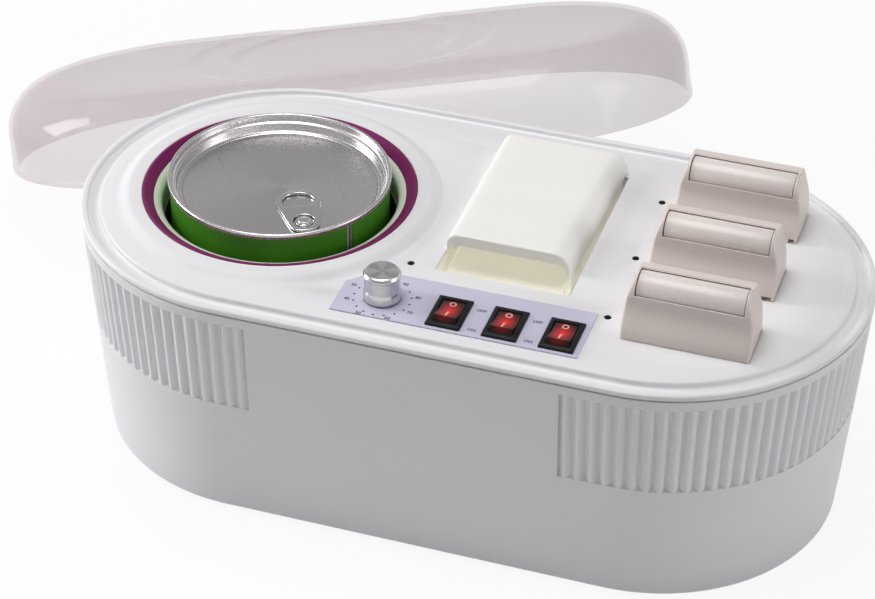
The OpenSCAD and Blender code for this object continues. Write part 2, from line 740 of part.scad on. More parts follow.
module cartridge_body(i) color("#f3e3c0") translate([cart_x, cart_ys[i - 1], 0]) {
  translate([0, 0, cart_bottom_z]) linear_extrude(2) rounded_rect(cart_w - 2, cart_d - 2, well_round - 1);
  translate([0, 0, cart_bottom_z + 2]) linear_extrude(cart_h - 2 + fit - seat) rounded_rect(cart_w, cart_d, well_round);
}

// Side outline of a roller head: x is the depth, y is the height above the deck. The front sweeps back
// to a neck under the roller's lip, the cheeks follow the roller and the back rises to a broad lip
module head_side() {
  half = head_d / 2;
  bed_y = roller_z - deck_z;
  polygon(concat(
    [[-half, fit], [-half, 2.6], [-half + 0.6, 5], [-half + 1.9, 7.6], [-half + 3.3, 10], [-half + 4.4, 12.6],
     [-half + 4.8, 15], [-half + 4.5, 17.2], [-half + 4.1, 18.6], [-half + 4.2, 19.4]],
    arc(roller_y, bed_y, bed_r + 0.2, 176, 66, 8),
    [[5.4, head_h], [7.9, head_h - 0.3], [8.8, head_h - 1.4], [half - 3.6, head_h - 5], [half - 2.6, 15.6],
     [half - 1.2, 8], [half, 2.6], [half, fit]]));
}

// Front outline: straight below, then drawn in towards the top
module head_front() {
  half = head_w / 2;
  right = [[half, 0], [half, 9.4], [half - 0.5, 15.6], [half - 1.5, 20], [half - 2.3, 23.6], [half - 3.4, 27.6]];
  polygon(concat(right, [for (i = [len(right) - 1:-1:0]) [-right[i][0], right[i][1]]]));
}

module cartridge_head(i) color("#f0e4e2") translate([cart_x, cart_ys[i - 1], deck_z]) difference() {
  intersection() {
    rotate([90, 0, 90]) linear_extrude(head_w, center = true) head_side();
    rotate([90, 0, 0]) linear_extrude(head_d + 2, center = true) head_front();
  }
  translate([0, roller_y, roller_z - deck_z]) rotate([90, 0, 90]) {
    cylinder(r = bed_r, h = bed_w, center = true);
    // the roller shows from the back lip over the top down to the front edge
    linear_extrude(bed_w, center = true) polygon([
      [0, 0], [open_r * cos(bed_lip_deg), open_r * sin(bed_lip_deg)], [-open_r, open_r * sin(bed_lip_deg)],
      [-open_r, -open_r * tan(bed_front_deg)]]);
    cylinder(r = roller_pin_r + run, h = bed_w + 2 * roller_pin_l + fit, center = true);
  }
  // notch at the lower right corner, where a finger lifts the cartridge
  if (notch_w[i - 1] > 0)
    translate([head_w / 2 - 1.2 - notch_w[i - 1], -head_d / 2 - eps, fit - eps])
      cube([notch_w[i - 1], 3 + eps, 1.8 + eps]);
}

module roller(i) color("#f4e9e6") translate([cart_x, cart_ys[i - 1] + roller_y, roller_z]) rotate([0, 90, 0]) {
  cylinder(r = roller_r, h = bed_w - 2 * fit, center = true);
  cylinder(r = roller_pin_r, h = bed_w + 2 * roller_pin_l, center = true);
}

// ---- Strip compartment ----

// Drop-in tray under the deck: open box with a flange, and a ledge along the right for the hood
module strip_tray() color("#efeedd") {
  top_z = under_z - seat;
  wall = seat + tray_t;
  difference() {
    union() {
      translate([tray_x0 - wall, tray_y0 - wall, tray_floor_z - tray_t])
        cube([tray_w + 2 * wall, tray_l + 2 * wall, top_z - tray_floor_z + tray_t]);
      translate([tray_x0 - wall - tray_rim, tray_y0 - wall - tray_rim, top_z - tray_t])
        cube([tray_w + 2 * wall + 2 * tray_rim, tray_l + 2 * wall + 2 * tray_rim, tray_t]);
    }
    translate([tray_x0 - seat, tray_y0 - seat, tray_floor_z])
      cube([tray_w + 2 * seat - ledge_w, tray_l + 2 * seat, tray_depth + 5]);
    translate([tray_x0 - seat, tray_y0 - seat, strips_z])
      cube([tray_w + 2 * seat, tray_l + 2 * seat, tray_depth + 5]);
    tray_screw_places() translate([0, 0, top_z - 5]) cylinder(r = 1.1 + run, h = 10);
  }
}

module tray_screw_places() {
  for (x = [0, 1], y = [0, 1])
    translate([tray_x0 + x * tray_w + (2 * x - 1) * (tray_t + 2.6), tray_y0 + 12 + y * (tray_l - 24), 0]) children();
}

module tray_screws() color("silver") tray_screw_places() translate([0, 0, under_z - seat - tray_t - seat - 1.6])
  rotate_extrude() polygon([[0, 0], [1.9, 0], [2.2, 0.4], [2.2, 1.6], [1.1, 1.6], [1.1, 4.4], [0, 4.8]]);

module strip_stack() color("#f4f2e2") {
  gap = 0.7;
  translate([tray_x0 + gap, tray_y0 + gap, tray_floor_z + fit])
    cube([tray_w - ledge_w - 2 * gap, tray_l - 2 * gap, strips_z - tray_floor_z - fit]);
}

// Hood over the rear of the compartment: its left and back walls stand on the deck, its right wall
// reaches down to the tray's ledge, and its front is open so that a strip can be pulled out
module strip_hood() color("#f6f6f0") {
  top = hood_z - deck_z;
  round_l = 2.4;
  round_r = 6;
  foot = fit - strips_below;
  outline = concat(
    [[hood_x0, fit]],
    arc(hood_x0 + round_l, top - round_l, round_l, 180, 90, 4),
    arc(hood_x1 - round_r, top - round_r, round_r, 90, 0, 6),
    [[hood_x1, foot], [hood_x1 - hood_t, foot], [hood_x1 - hood_t, top - round_r]],
    arc(hood_x1 - round_r, top - round_r, round_r - hood_t, 0, 90, 6),
    [[hood_x0 + hood_t, top - hood_t], [hood_x0 + hood_t, fit]]);
  difference() {
    union() {
      translate([0, hood_y1, deck_z]) rotate([90, 0, 0]) linear_extrude(hood_y1 - hood_y0) polygon(outline);
      translate([hood_x0 + hood_t / 2, hood_y0, hood_z - hood_lip])
        cube([hood_x1 - hood_x0 - hood_t - round_r / 2, hood_t, hood_lip - 1]);
      translate([hood_x0 + hood_t / 2, hood_y1 - hood_t, deck_z + fit])
        cube([hood_x1 - hood_x0 - hood_t, hood_t, top - fit - round_r]);
      translate([hood_x0 + hood_t / 2, hood_y1 - hood_t, deck_z + fit])
        cube([hood_x1 - hood_x0 - hood_t - round_r / 2, hood_t, top - fit - 1]);
    }
    // the right wall clears the back edge of the opening
    translate([hood_x1 - 2 * hood_t, tray_y1 - 1.5, deck_z + fit - strips_below - eps])
      cube([4 * hood_t, 20, strips_below + eps]);
  }
}

// ---- Mains parts ----

module power_inlet() color("#202022") translate([inlet_x, inlet_pad_y + seat, inlet_z]) difference() {
  union() {
    translate([-inlet_flange_w / 2, 0, -inlet_flange_h / 2]) cube([inlet_flange_w, 2.2, inlet_flange_h]);
    translate([-inlet_w / 2, -18, -inlet_h / 2]) cube([inlet_w, 18 + eps, inlet_h]);
  }
  translate([0, 5, 0]) rotate([90, 0, 0]) linear_extrude(21) polygon([
    [-12, -8.2], [12, -8.2], [12, 4], [8, 8.2], [-8, 8.2], [-12, 4]]);
  for (p = inlet_pin_at) translate([p[0] - 1.05, -19, p[1] - 2.05]) cube([2.1, 4, 4.1]);
}

module inlet_pins() color("silver") translate([inlet_x, inlet_pad_y + seat, inlet_z])
  for (p = inlet_pin_at) translate([p[0] - 1, -24, p[1] - 2]) cube([2, 21, 4]);

module terminal_block() color("ivory") translate([-18, 30, floor_t + seat]) difference() {
  union() {
    cube([44, 18, 8]);
    translate([0, 4, 0]) cube([44, 10, 15]);
  }
  for (i = [0:3]) translate([5.5 + i * 11, 9, 8]) cylinder(r = 2.2, h = 10);
}

// ---- Lid ----

// Thin dome with a straight wall, a rounded top edge, a bead along the open side and a dished ring on top
module lid_profile() {
  wall_top = lid_h - lid_r;
  polygon(concat(
    [[lid_out_r - lid_bead_t, 0], [lid_out_r, 0], [lid_out_r, lid_bead_h]],
    arc(lid_out_r - lid_r - 0.5, wall_top, lid_r, 0, 90, 8),
    [[0, lid_h], [0, lid_h - lid_t]],
    arc(lid_out_r - lid_r - 0.5, wall_top, lid_r - lid_t, 90, 0, 8),
    [[lid_out_r - lid_t - 0.5, lid_bead_h + 1], [lid_out_r - lid_bead_t, lid_bead_h]]));
}

module lid_place() {
  translate([lid_x, lid_y, lid_z]) rotate([0, 0, lid_yaw]) rotate([0, -lid_tilt, 0]) rotate([-lid_lean, 0, 0]) children();
}

module lid() color("mistyrose", 0.4) lid_place() round_outline() lid_profile();

lower_housing();
rubber_feet();
housing_screws();
top_cover();
pot_collar();
pot_liner();
heating_pot();
heater_band();
thermal_fuse();
tin_body();
wax_fill();
tin_lid();
pull_rivet();
pull_tab();
control_panel();
thermostat();
thermostat_shaft();
thermostat_nut();
knob();
switch_case(1);  // switch_case_1
switch_case(2);  // switch_case_2
switch_case(3);  // switch_case_3
rocker(1);  // rocker_1
rocker(2);  // rocker_2
rocker(3);  // rocker_3
pilot_lights();
well_sleeve(1);  // well_sleeve_1
well_sleeve(2);  // well_sleeve_2
well_sleeve(3);  // well_sleeve_3
well_heater(1);  // well_heater_1
well_heater(2);  // well_heater_2
well_heater(3);  // well_heater_3
sleeve_screws();
cartridge_body(1);  // cartridge_body_1
cartridge_body(2);  // cartridge_body_2
cartridge_body(3);  // cartridge_body_3
cartridge_head(1);  // cartridge_head_1
cartridge_head(2);  // cartridge_head_2
cartridge_head(3);  // cartridge_head_3
roller(1);  // roller_1
roller(2);  // roller_2
roller(3);  // roller_3
strip_tray();
tray_screws();
strip_stack();
strip_hood();
power_inlet();
inlet_pins();
terminal_block();
lid();
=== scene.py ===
import math
import bmesh
import bpy
from mathutils import Matrix, Vector


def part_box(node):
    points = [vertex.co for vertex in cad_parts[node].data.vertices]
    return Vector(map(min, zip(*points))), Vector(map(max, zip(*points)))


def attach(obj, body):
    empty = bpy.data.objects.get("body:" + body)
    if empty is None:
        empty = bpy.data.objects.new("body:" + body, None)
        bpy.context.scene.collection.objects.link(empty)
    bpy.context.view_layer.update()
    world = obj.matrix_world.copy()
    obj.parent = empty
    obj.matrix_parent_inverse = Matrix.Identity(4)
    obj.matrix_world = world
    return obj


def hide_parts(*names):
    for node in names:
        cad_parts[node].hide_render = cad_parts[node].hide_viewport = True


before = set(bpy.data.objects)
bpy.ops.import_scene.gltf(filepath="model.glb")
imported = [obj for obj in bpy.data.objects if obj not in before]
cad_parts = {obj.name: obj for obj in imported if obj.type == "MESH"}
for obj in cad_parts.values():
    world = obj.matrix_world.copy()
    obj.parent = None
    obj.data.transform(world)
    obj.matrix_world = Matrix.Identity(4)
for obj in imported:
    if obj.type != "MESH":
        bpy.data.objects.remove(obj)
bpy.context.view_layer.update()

# ---- Camera ----
# A long lens from the front right and above, at the angle and distance of the photograph.
mm = 0.001
photo_width = 875
focal_pixels = 2816.1
view_azimuth, view_elevation, view_roll = (math.radians(a) for a in (17.862, 35.88, 0.551))
view_target = Vector((-8.703, -20.204, 87.95)) * mm
view_distance = 1221.353 * mm
back = Vector((math.sin(view_azimuth) * math.cos(view_elevation),
               -math.cos(view_azimuth) * math.cos(view_elevation), math.sin(view_elevation)))
level_right = (-back).cross(Vector((0, 0, 1))).normalized()
level_up = level_right.cross(-back)
cam_right = math.cos(view_roll) * level_right + math.sin(view_roll) * level_up
cam_up = math.cos(view_roll) * level_up - math.sin(view_roll) * level_right
camera = bpy.data.objects.new("camera", bpy.data.cameras.new("camera"))
camera.data.sensor_width = 36
camera.data.lens = focal_pixels / photo_width * 36
camera.data.clip_start, camera.data.clip_end = 0.05, 30
camera.matrix_world = (Matrix((cam_right, cam_up, back)).transposed().to_4x4())
camera.matrix_world.translation = view_target + view_distance * back
bpy.context.collection.objects.link(camera)
bpy.context.scene.camera = camera


# ---- Studio ----
# A white sweep with one broad lamp above, one low on the left and a weaker one low on the right.
# The floor and the world turn white for the camera and for reflections only.
def paint(red, green, blue, alpha=1.0):
    """A colour read off a paint chart, 0 to 255, as the linear colour that a shader takes."""
    return tuple(c / 12.92 if c <= 0.04045 else ((c + 0.055) / 1.055) ** 2.4
                 for c in (red / 255, green / 255, blue / 255)) + (alpha,)


def lamp(name, place, aim, size, watts):
    light = bpy.data.lights.new(name, "AREA")
    light.shape = "RECTANGLE"
    light.size, light.size_y = size
    light.energy = watts
    holder = bpy.data.objects.new(name, light)
    holder.matrix_world = (Vector(aim) - Vector(place)).to_track_quat("-Z", "Y").to_matrix().to_4x4()
    holder.matrix_world.translation = Vector(place)
    bpy.context.collection.objects.link(holder)


lamp("top_lamp", (-0.2, -0.02, 1.58), (0, 0, 0.08), (1.1, 0.8), 13.5)
lamp("left_lamp", (-1.4, -0.12, 0.6), (0, 0, 0.06), (0.4, 0.8), 12)
lamp("right_lamp", (1.4, 0.0, 0.6), (0, 0, 0.06), (0.6, 0.8), 5)


def seen_white(tree):
    """1 where the camera looks or where a mirror or glass shows the surface, else 0."""
    path = tree.nodes.new("ShaderNodeLightPath")
    seen = path.outputs["Is Camera Ray"]
    for kind in ("Is Glossy Ray", "Is Transmission Ray"):
        either = tree.nodes.new("ShaderNodeMath")
        either.operation = "MAXIMUM"
        tree.links.new(seen, either.inputs[0])
        tree.links.new(path.outputs[kind], either.inputs[1])
        seen = either.outputs[0]
    return seen


world = bpy.data.worlds.new("studio")
bpy.context.scene.world = world
world.use_nodes = True
sky = world.node_tree
sky.nodes.clear()
ambient = sky.nodes.new("ShaderNodeBackground")
ambient.inputs["Strength"].default_value = 0.13
white = sky.nodes.new("ShaderNodeBackground")
white.inputs["Color"].default_value = (1, 1, 1, 1)
# white round the horizon, and a grey ceiling for what shines
height = sky.nodes.new("ShaderNodeSeparateXYZ")
sky.links.new(sky.nodes.new("ShaderNodeTexCoord").outputs["Generated"], height.inputs[0])
ceiling = sky.nodes.new("ShaderNodeMapRange")
ceiling.interpolation_type = "SMOOTHSTEP"
ceiling.inputs["From Min"].default_value = 0.04
ceiling.inputs["From Max"].default_value = 0.5
ceiling.inputs["To Min"].default_value = 1.0
ceiling.inputs["To Max"].default_value = 0.42
sky.links.new(height.outputs["Z"], ceiling.inputs["Value"])
sky.links.new(ceiling.outputs["Result"], white.inputs["Strength"])
sky_mix = sky.nodes.new("ShaderNodeMixShader")
sky.links.new(seen_white(sky), sky_mix.inputs[0])
sky.links.new(ambient.outputs[0], sky_mix.inputs[1])
sky.links.new(white.outputs[0], sky_mix.inputs[2])
sky.links.new(sky_mix.outputs[0], sky.nodes.new("ShaderNodeOutputWorld").inputs["Surface"])

floor_z = -1.0
floor_shade_kept = 0.1
bench = bmesh.new()
bmesh.ops.create_grid(bench, x_segments=1, y_segments=1, size=4)
bmesh.ops.translate(bench, verts=bench.verts, vec=(0, 0, floor_z * mm))
bench_mesh = bpy.data.meshes.new("floor")
bench.to_mesh(bench_mesh)
bench.free()
bench_paint = bpy.data.materials.new("pale_floor")
bench_paint.use_nodes = True
tree = bench_paint.node_tree
shaded = tree.nodes["Principled BSDF"]
shaded.inputs["Base Color"].default_value = (0.9, 0.9, 0.9, 1)
shaded.inputs["Roughness"].default_value = 0.9
glow = tree.nodes.new("ShaderNodeEmission")
kept = tree.nodes.new("ShaderNodeMath")
kept.operation = "MULTIPLY"
kept.inputs[1].default_value = 1 - floor_shade_kept
tree.links.new(seen_white(tree), kept.inputs[0])
floor_mix = tree.nodes.new("ShaderNodeMixShader")
tree.links.new(kept.outputs[0], floor_mix.inputs[0])
tree.links.new(shaded.outputs[0], floor_mix.inputs[1])
tree.links.new(glow.outputs[0], floor_mix.inputs[2])
tree.links.new(floor_mix.outputs[0], tree.nodes["Material Output"].inputs["Surface"])
floor = bpy.data.objects.new("floor", bench_mesh)
floor.data.materials.append(bench_paint)
bpy.context.collection.objects.link(floor)
bpy.context.scene.view_settings.view_transform = "Standard"

# ---- Lower housing ----
# The tub is one injection-moulded shell of white ABS with a drafted wall, a fluted band round each end and
# a plain margin under the parting line. Its floor carries the screw holes, foot recesses and vent slots.
half_straight = 85.8
parting_z = 110.0
top_r = 90.2
bottom_r = 82.7
wall_t = 3.0
edge_round = 3.0
rib_pitch, rib_w, rib_depth = 5.76, 5.2, 1.9
ribs_on_quarter = 24
straight_ribs = {1: 3, -1: 2}
band_z0, band_z1 = 60.5, 105.5
groove_end = 2.4
groove_top = 0.7


def wall_r(z):
    return bottom_r + (top_r - bottom_r) * z / parting_z


def link_group(tree, kind, name, inputs, outputs):
    """Opens a new node group with its named sockets."""
    group = bpy.data.node_groups.new(name, kind)
    for label, socket, value in inputs:
        made = group.interface.new_socket(name=label, in_out="INPUT", socket_type=socket)
        if value is not None:
            made.default_value = value
    for label, socket in outputs:
        group.interface.new_socket(name=label, in_out="OUTPUT", socket_type=socket)
    return group


def maths(tree, operation, a, b=None, clamp=False):
    """One Math node; a and b are sockets or plain numbers."""
    node = tree.nodes.new("ShaderNodeMath")
    node.operation = operation
    node.use_clamp = clamp
    for slot, value in ((0, a), (1, b)):
        if value is None:
            continue
        if isinstance(value, (int, float)):
            node.inputs[slot].default_value = value
        else:
            tree.links.new(value, node.inputs[slot])
    return node.outputs[0]


# Moulded and pressed surfaces share this: a slow drift of tone and a fine grain in gloss and height.
skin = link_group(None, "ShaderNodeTree", "moulded_skin", [
    ("Colour", "NodeSocketColor", (0.8, 0.8, 0.8, 1)), ("Roughness", "NodeSocketFloat", 0.4),
    ("Drift", "NodeSocketFloat", 0.03), ("Grain Size", "NodeSocketFloat", 0.0006),
    ("Stretch", "NodeSocketVector", (1, 1, 1))],
    [("Colour", "NodeSocketColor"), ("Roughness", "NodeSocketFloat"), ("Height", "NodeSocketFloat")])
g_in = skin.nodes.new("NodeGroupInput")
g_out = skin.nodes.new("NodeGroupOutput")
place = skin.nodes.new("ShaderNodeTexCoord")
stretched = skin.nodes.new("ShaderNodeVectorMath")
stretched.operation = "MULTIPLY"
skin.links.new(place.outputs["Object"], stretched.inputs[0])
skin.links.new(g_in.outputs["Stretch"], stretched.inputs[1])
slow = skin.nodes.new("ShaderNodeTexNoise")
slow.inputs["Scale"].default_value = 22
slow.inputs["Detail"].default_value = 3
skin.links.new(stretched.outputs[0], slow.inputs["Vector"])
fine = skin.nodes.new("ShaderNodeTexNoise")
fine.inputs["Detail"].default_value = 2
skin.links.new(stretched.outputs[0], fine.inputs["Vector"])
skin.links.new(maths(skin, "DIVIDE", 1.0, g_in.outputs["Grain Size"]), fine.inputs["Scale"])
drift = maths(skin, "MULTIPLY", maths(skin, "SUBTRACT", slow.outputs["Fac"], 0.5), g_in.outputs["Drift"])
tone = maths(skin, "ADD", 1.0, drift)
toned = skin.nodes.new("ShaderNodeVectorMath")
toned.operation = "SCALE"
skin.links.new(g_in.outputs["Colour"], toned.inputs[0])
skin.links.new(tone, toned.inputs["Scale"])
skin.links.new(toned.outputs[0], g_out.inputs["Colour"])
gloss_drift = maths(skin, "MULTIPLY", maths(skin, "SUBTRACT", fine.outputs["Fac"], 0.5), 0.12)
skin.links.new(maths(skin, "ADD", g_in.outputs["Roughness"], gloss_drift, True), g_out.inputs["Roughness"])
skin.links.new(fine.outputs["Fac"], g_out.inputs["Height"])


def finish_of(name, colour, roughness, drift=0.03, grain_size=0.6, relief=0.01, stretch=(1, 1, 1),
              metallic=0.0,
              coat=0.0, anisotropic=0.0, specular=0.5):
    """A material on the moulded skin; grain_size and relief are in millimetres."""
    made = bpy.data.materials.new(name)
    made.use_nodes = True
    tree = made.node_tree
    shader = tree.nodes["Principled BSDF"]
    skin_node = tree.nodes.new("ShaderNodeGroup")
    skin_node.node_tree = skin
    skin_node.inputs["Colour"].default_value = colour
    skin_node.inputs["Roughness"].default_value = roughness
    skin_node.inputs["Drift"].default_value = drift
    skin_node.inputs["Grain Size"].default_value = grain_size * mm
    skin_node.inputs["Stretch"].default_value = stretch
    bump = tree.nodes.new("ShaderNodeBump")
    bump.inputs["Strength"].default_value = 0.5
    bump.inputs["Distance"].default_value = relief * mm
    tree.links.new(skin_node.outputs["Height"], bump.inputs["Height"])
    tree.links.new(skin_node.outputs["Colour"], shader.inputs["Base Color"])
    tree.links.new(skin_node.outputs["Roughness"], shader.inputs["Roughness"])
    tree.links.new(bump.outputs["Normal"], shader.inputs["Normal"])
    shader.inputs["Metallic"].default_value = metallic
    shader.inputs["Coat Weight"].default_value = coat
    shader.inputs["Anisotropic"].default_value = anisotropic
    shader.inputs["Specular IOR Level"].default_value = specular
    return made


def crease(shape, degrees):
    """Smooth shading with hard edges where two faces meet at more than this angle."""
    limit = math.radians(degrees)
    for face in shape.faces:
        face.smooth = True
    for edge in shape.edges:
        if len(edge.link_faces) == 2:
            edge.smooth = edge.calc_face_angle(0) < limit
        else:
            edge.smooth = False


def piece(name, shape, body, material, stands_for=(), degrees=32):
    """Turns a bmesh drawn in millimetres into a piece that rides on a body."""
    bmesh.ops.recalc_face_normals(shape, faces=shape.faces)
    crease(shape, degrees)
    bmesh.ops.scale(shape, vec=(mm, mm, mm), verts=shape.verts)
    mesh = bpy.data.meshes.new(name)
    shape.to_mesh(mesh)
    shape.free()
    made = bpy.data.objects.new(name, mesh)
    mesh.materials.append(material)
    bpy.context.collection.objects.link(made)
    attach(made, body)
    if stands_for:
        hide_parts(*stands_for)
    return made


def coat_node(node, material):
    """Gives a CAD node that keeps its shape its own finish."""
    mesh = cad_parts[node].data
    mesh.materials.clear()
    mesh.materials.append(material)


def settled(obj):
    """The object's mesh with its modifiers applied, in place of the old one."""
    graph = bpy.context.evaluated_depsgraph_get()
    mesh = bpy.data.meshes.new_from_object(obj.evaluated_get(graph))
    obj.modifiers.clear()
    old = obj.data
    obj.data = mesh
    bpy.data.meshes.remove(old)
    return obj


def loose_object(name, shape):
    """A helper object in millimetres, linked so that modifiers can use it."""
    mesh = bpy.data.meshes.new(name)
    shape.to_mesh(mesh)
    shape.free()
    made = bpy.data.objects.new(name, mesh)
    bpy.context.collection.objects.link(made)
    return made


def prism(outline, z0, z1, into=None):
    """A closed straight solid on a flat outline of (x, y) points."""
    shape = into or bmesh.new()
    low = [shape.verts.new((x, y, z0)) for x, y in outline]
    high = [shape.verts.new((x, y, z1)) for x, y in outline]
    shape.faces.new(low[::-1])
    shape.faces.new(high)
    for i in range(len(outline)):
        j = (i + 1) % len(outline)
        shape.faces.new((low[i], low[j], high[j], high[i]))
    return shape


def ring_of(x, y, r, sides=32):
    return [(x + r * math.cos(2 * math.pi * i / sides),
             y + r * math.sin(2 * math.pi * i / sides))
            for i in range(sides)]


def round_rect(x, y, w, d, r, steps=6):
    points = []
    for cx, cy, start in ((1, 1, 0), (-1, 1, 90), (-1, -1, 180), (1, -1, 270)):
        for i in range(steps + 1):
            a = math.radians(start + 90 * i / steps)
            points.append((x + cx * (w / 2 - r) + r * math.cos(a), y + cy * (d / 2 - r) + r * math.sin(a)))
    return points


def carve(shape, cutters):
    """Takes the cutter solids out of a shape; both are bmeshes in millimetres."""
    body = loose_object("blank", shape)
    tool = loose_object("tool", cutters)
    cut = body.modifiers.new("cut", "BOOLEAN")
    cut.operation = "DIFFERENCE"
    cut.solver = "EXACT"
    cut.object = tool
    settled(body)
    result = bmesh.new()
    result.from_mesh(body.data)
    for helper in (body, tool):
        mesh = helper.data
        bpy.data.objects.remove(helper)
        bpy.data.meshes.remove(mesh)
    return result


def chamfered(shape, width, segments=2, degrees=40):
    """Rounds every edge sharper than the angle."""
    body = loose_object("blank", shape)
    edge = body.modifiers.new("edge", "BEVEL")
    edge.width = width
    edge.segments = segments
    edge.limit_method = "ANGLE"
    edge.angle_limit = math.radians(degrees)
    edge.use_clamp_overlap = True
    settled(body)
    result = bmesh.new()
    result.from_mesh(body.data)
    mesh = body.data
    bpy.data.objects.remove(body)
    bpy.data.meshes.remove(mesh)
    return result


def outline_stations(spacing=None, arc_steps=48):
    """Stations round the housing from the front left, counter-clockwise: spine x, outward x, outward y."""
    stations = []
    runs = max(1, round(2 * half_straight / spacing)) if spacing else 1
    for i in range(runs):
        stations.append((-half_straight + 2 * half_straight * i / runs, 0.0, -1.0))
    for i in range(arc_steps):
        a = math.radians(-90 + 180 * i / arc_steps)
        stations.append((half_straight, math.cos(a), math.sin(a)))
    for i in range(runs):
        stations.append((half_straight - 2 * half_straight * i / runs, 0.0, 1.0))
    for i in range(arc_steps):
        a = math.radians(90 + 180 * i / arc_steps)
        stations.append((-half_straight, math.cos(a), math.sin(a)))
    return stations


def swept(profile, stations):
    """Sweeps a profile of (distance from the spine, height) round the stations."""
    shape = bmesh.new()
    grid = [[shape.verts.new((x + r * nx, r * ny, z)) for r, z in profile] for x, nx, ny in stations]
    rows = len(profile)
    for i in range(len(grid)):
        near, far = grid[i], grid[(i + 1) % len(grid)]
        for k in range(rows):
            m = (k + 1) % rows
            corners = [near[k], near[m], far[m], far[k]]
            ends = (corners[0].co - corners[3].co).length, (corners[1].co - corners[2].co).length
            if max(ends) < 1e-6:
                continue
            shape.faces.new(corners)
    return shape


def filleted(points, radii, steps=5):
    """A closed outline with its corners rounded; radii has one value per corner."""
    result = []
    count = len(points)
    for i in range(count):
        p, r = Vector(points[i]), radii[i]
        if r <= 0:
            result.append(tuple(p))
            continue
        a = (Vector(points[i - 1]) - p)
        b = (Vector(points[(i + 1) % count]) - p)
        half = a.angle(b) / 2
        reach = min(r / math.tan(half), a.length * 0.49, b.length * 0.49)
        r = reach * math.tan(half)
        centre = p + (a.normalized() + b.normalized()).normalized() * (r / math.sin(half))
        start = (p + a.normalized() * reach) - centre
        end = (p + b.normalized() * reach) - centre
        sweep = start.angle_signed(end)
        for k in range(steps + 1):
            turned = start.copy()
            turned.rotate(Matrix.Rotation(-sweep * k / steps, 2))
            result.append(tuple(centre + turned))
    return result


white_abs = finish_of("white_abs", paint(234, 233, 237), 0.46, drift=0.02, grain_size=0.5, relief=0.012,
                      specular=0.35)


def fluted_shell():
    """The wall as a grid of stations and rows. The fluting moves its points afterwards."""
    phases = (-0.5, -0.44, -0.36, -0.24, -0.12, 0.0, 0.12, 0.24, 0.36, 0.44)

    def band(side):
        last = ribs_on_quarter + straight_ribs[side]
        marks = [(-last - 0.54, 0.0)]
        marks += [(c + p, 1.0) for c in range(-last, last + 1) for p in phases] + [(last + 0.5, 1.0)]
        marks.append((last + 0.54, 0.0))
        stations = []
        for s, on in marks:
            if abs(s) <= ribs_on_quarter:
                a = math.radians(90 * s / ribs_on_quarter + (0 if side > 0 else 180))
                stations.append((side * half_straight, math.cos(a), math.sin(a), s, on))
            else:
                along = half_straight - (abs(s) - ribs_on_quarter) * rib_pitch
                outward = (1 if s > 0 else -1) * side
                stations.append((side * along, 0.0, outward, s, on))
        return stations

    stations = band(1) + band(-1)
    rows = [(wall_r(0) - edge_round + edge_round * math.sin(math.radians(a)),
             edge_round - edge_round * math.cos(math.radians(a))) for a in (0, 22, 45, 68, 90)]
    low = [band_z0 + groove_end * t for t in (0, 0.02, 0.1, 0.25, 0.5, 0.75, 1)]
    high = [band_z1 - groove_top * t for t in (1, 0.6, 0.25, 0.06, 0)]
    rows += [(wall_r(z), z) for z in [20, 40, band_z0 - 0.2] + low + [75, 90] + high + [band_z1 + 0.2]]
    rows += [(wall_r(parting_z - 0.3), parting_z - 0.3), (wall_r(parting_z) - 0.3, parting_z)]
    outer = len(rows)
    rows += [(wall_r(parting_z) - wall_t, parting_z), (wall_r(0) - wall_t, 0.0)]
    shape = bmesh.new()
    phase = shape.verts.layers.float.new("rib_phase")
    on_band = shape.verts.layers.float.new("on_band")
    outward = shape.verts.layers.float_vector.new("outward")
    grid = []
    for x, nx, ny, s, on in stations:
        column = []
        for k, (r, z) in enumerate(rows):
            v = shape.verts.new((x + r * nx, r * ny, z))
            v[phase] = s
            v[on_band] = on if 5 <= k < outer - 2 else 0.0
            v[outward] = (nx, ny, 0.0)
            column.append(v)
        grid.append(column)
    for i in range(len(grid)):
        near, far = grid[i], grid[(i + 1) % len(grid)]
        for k in range(len(rows)):
            m = (k + 1) % len(rows)
            shape.faces.new((near[k], far[k], far[m], near[m]))
    return shape


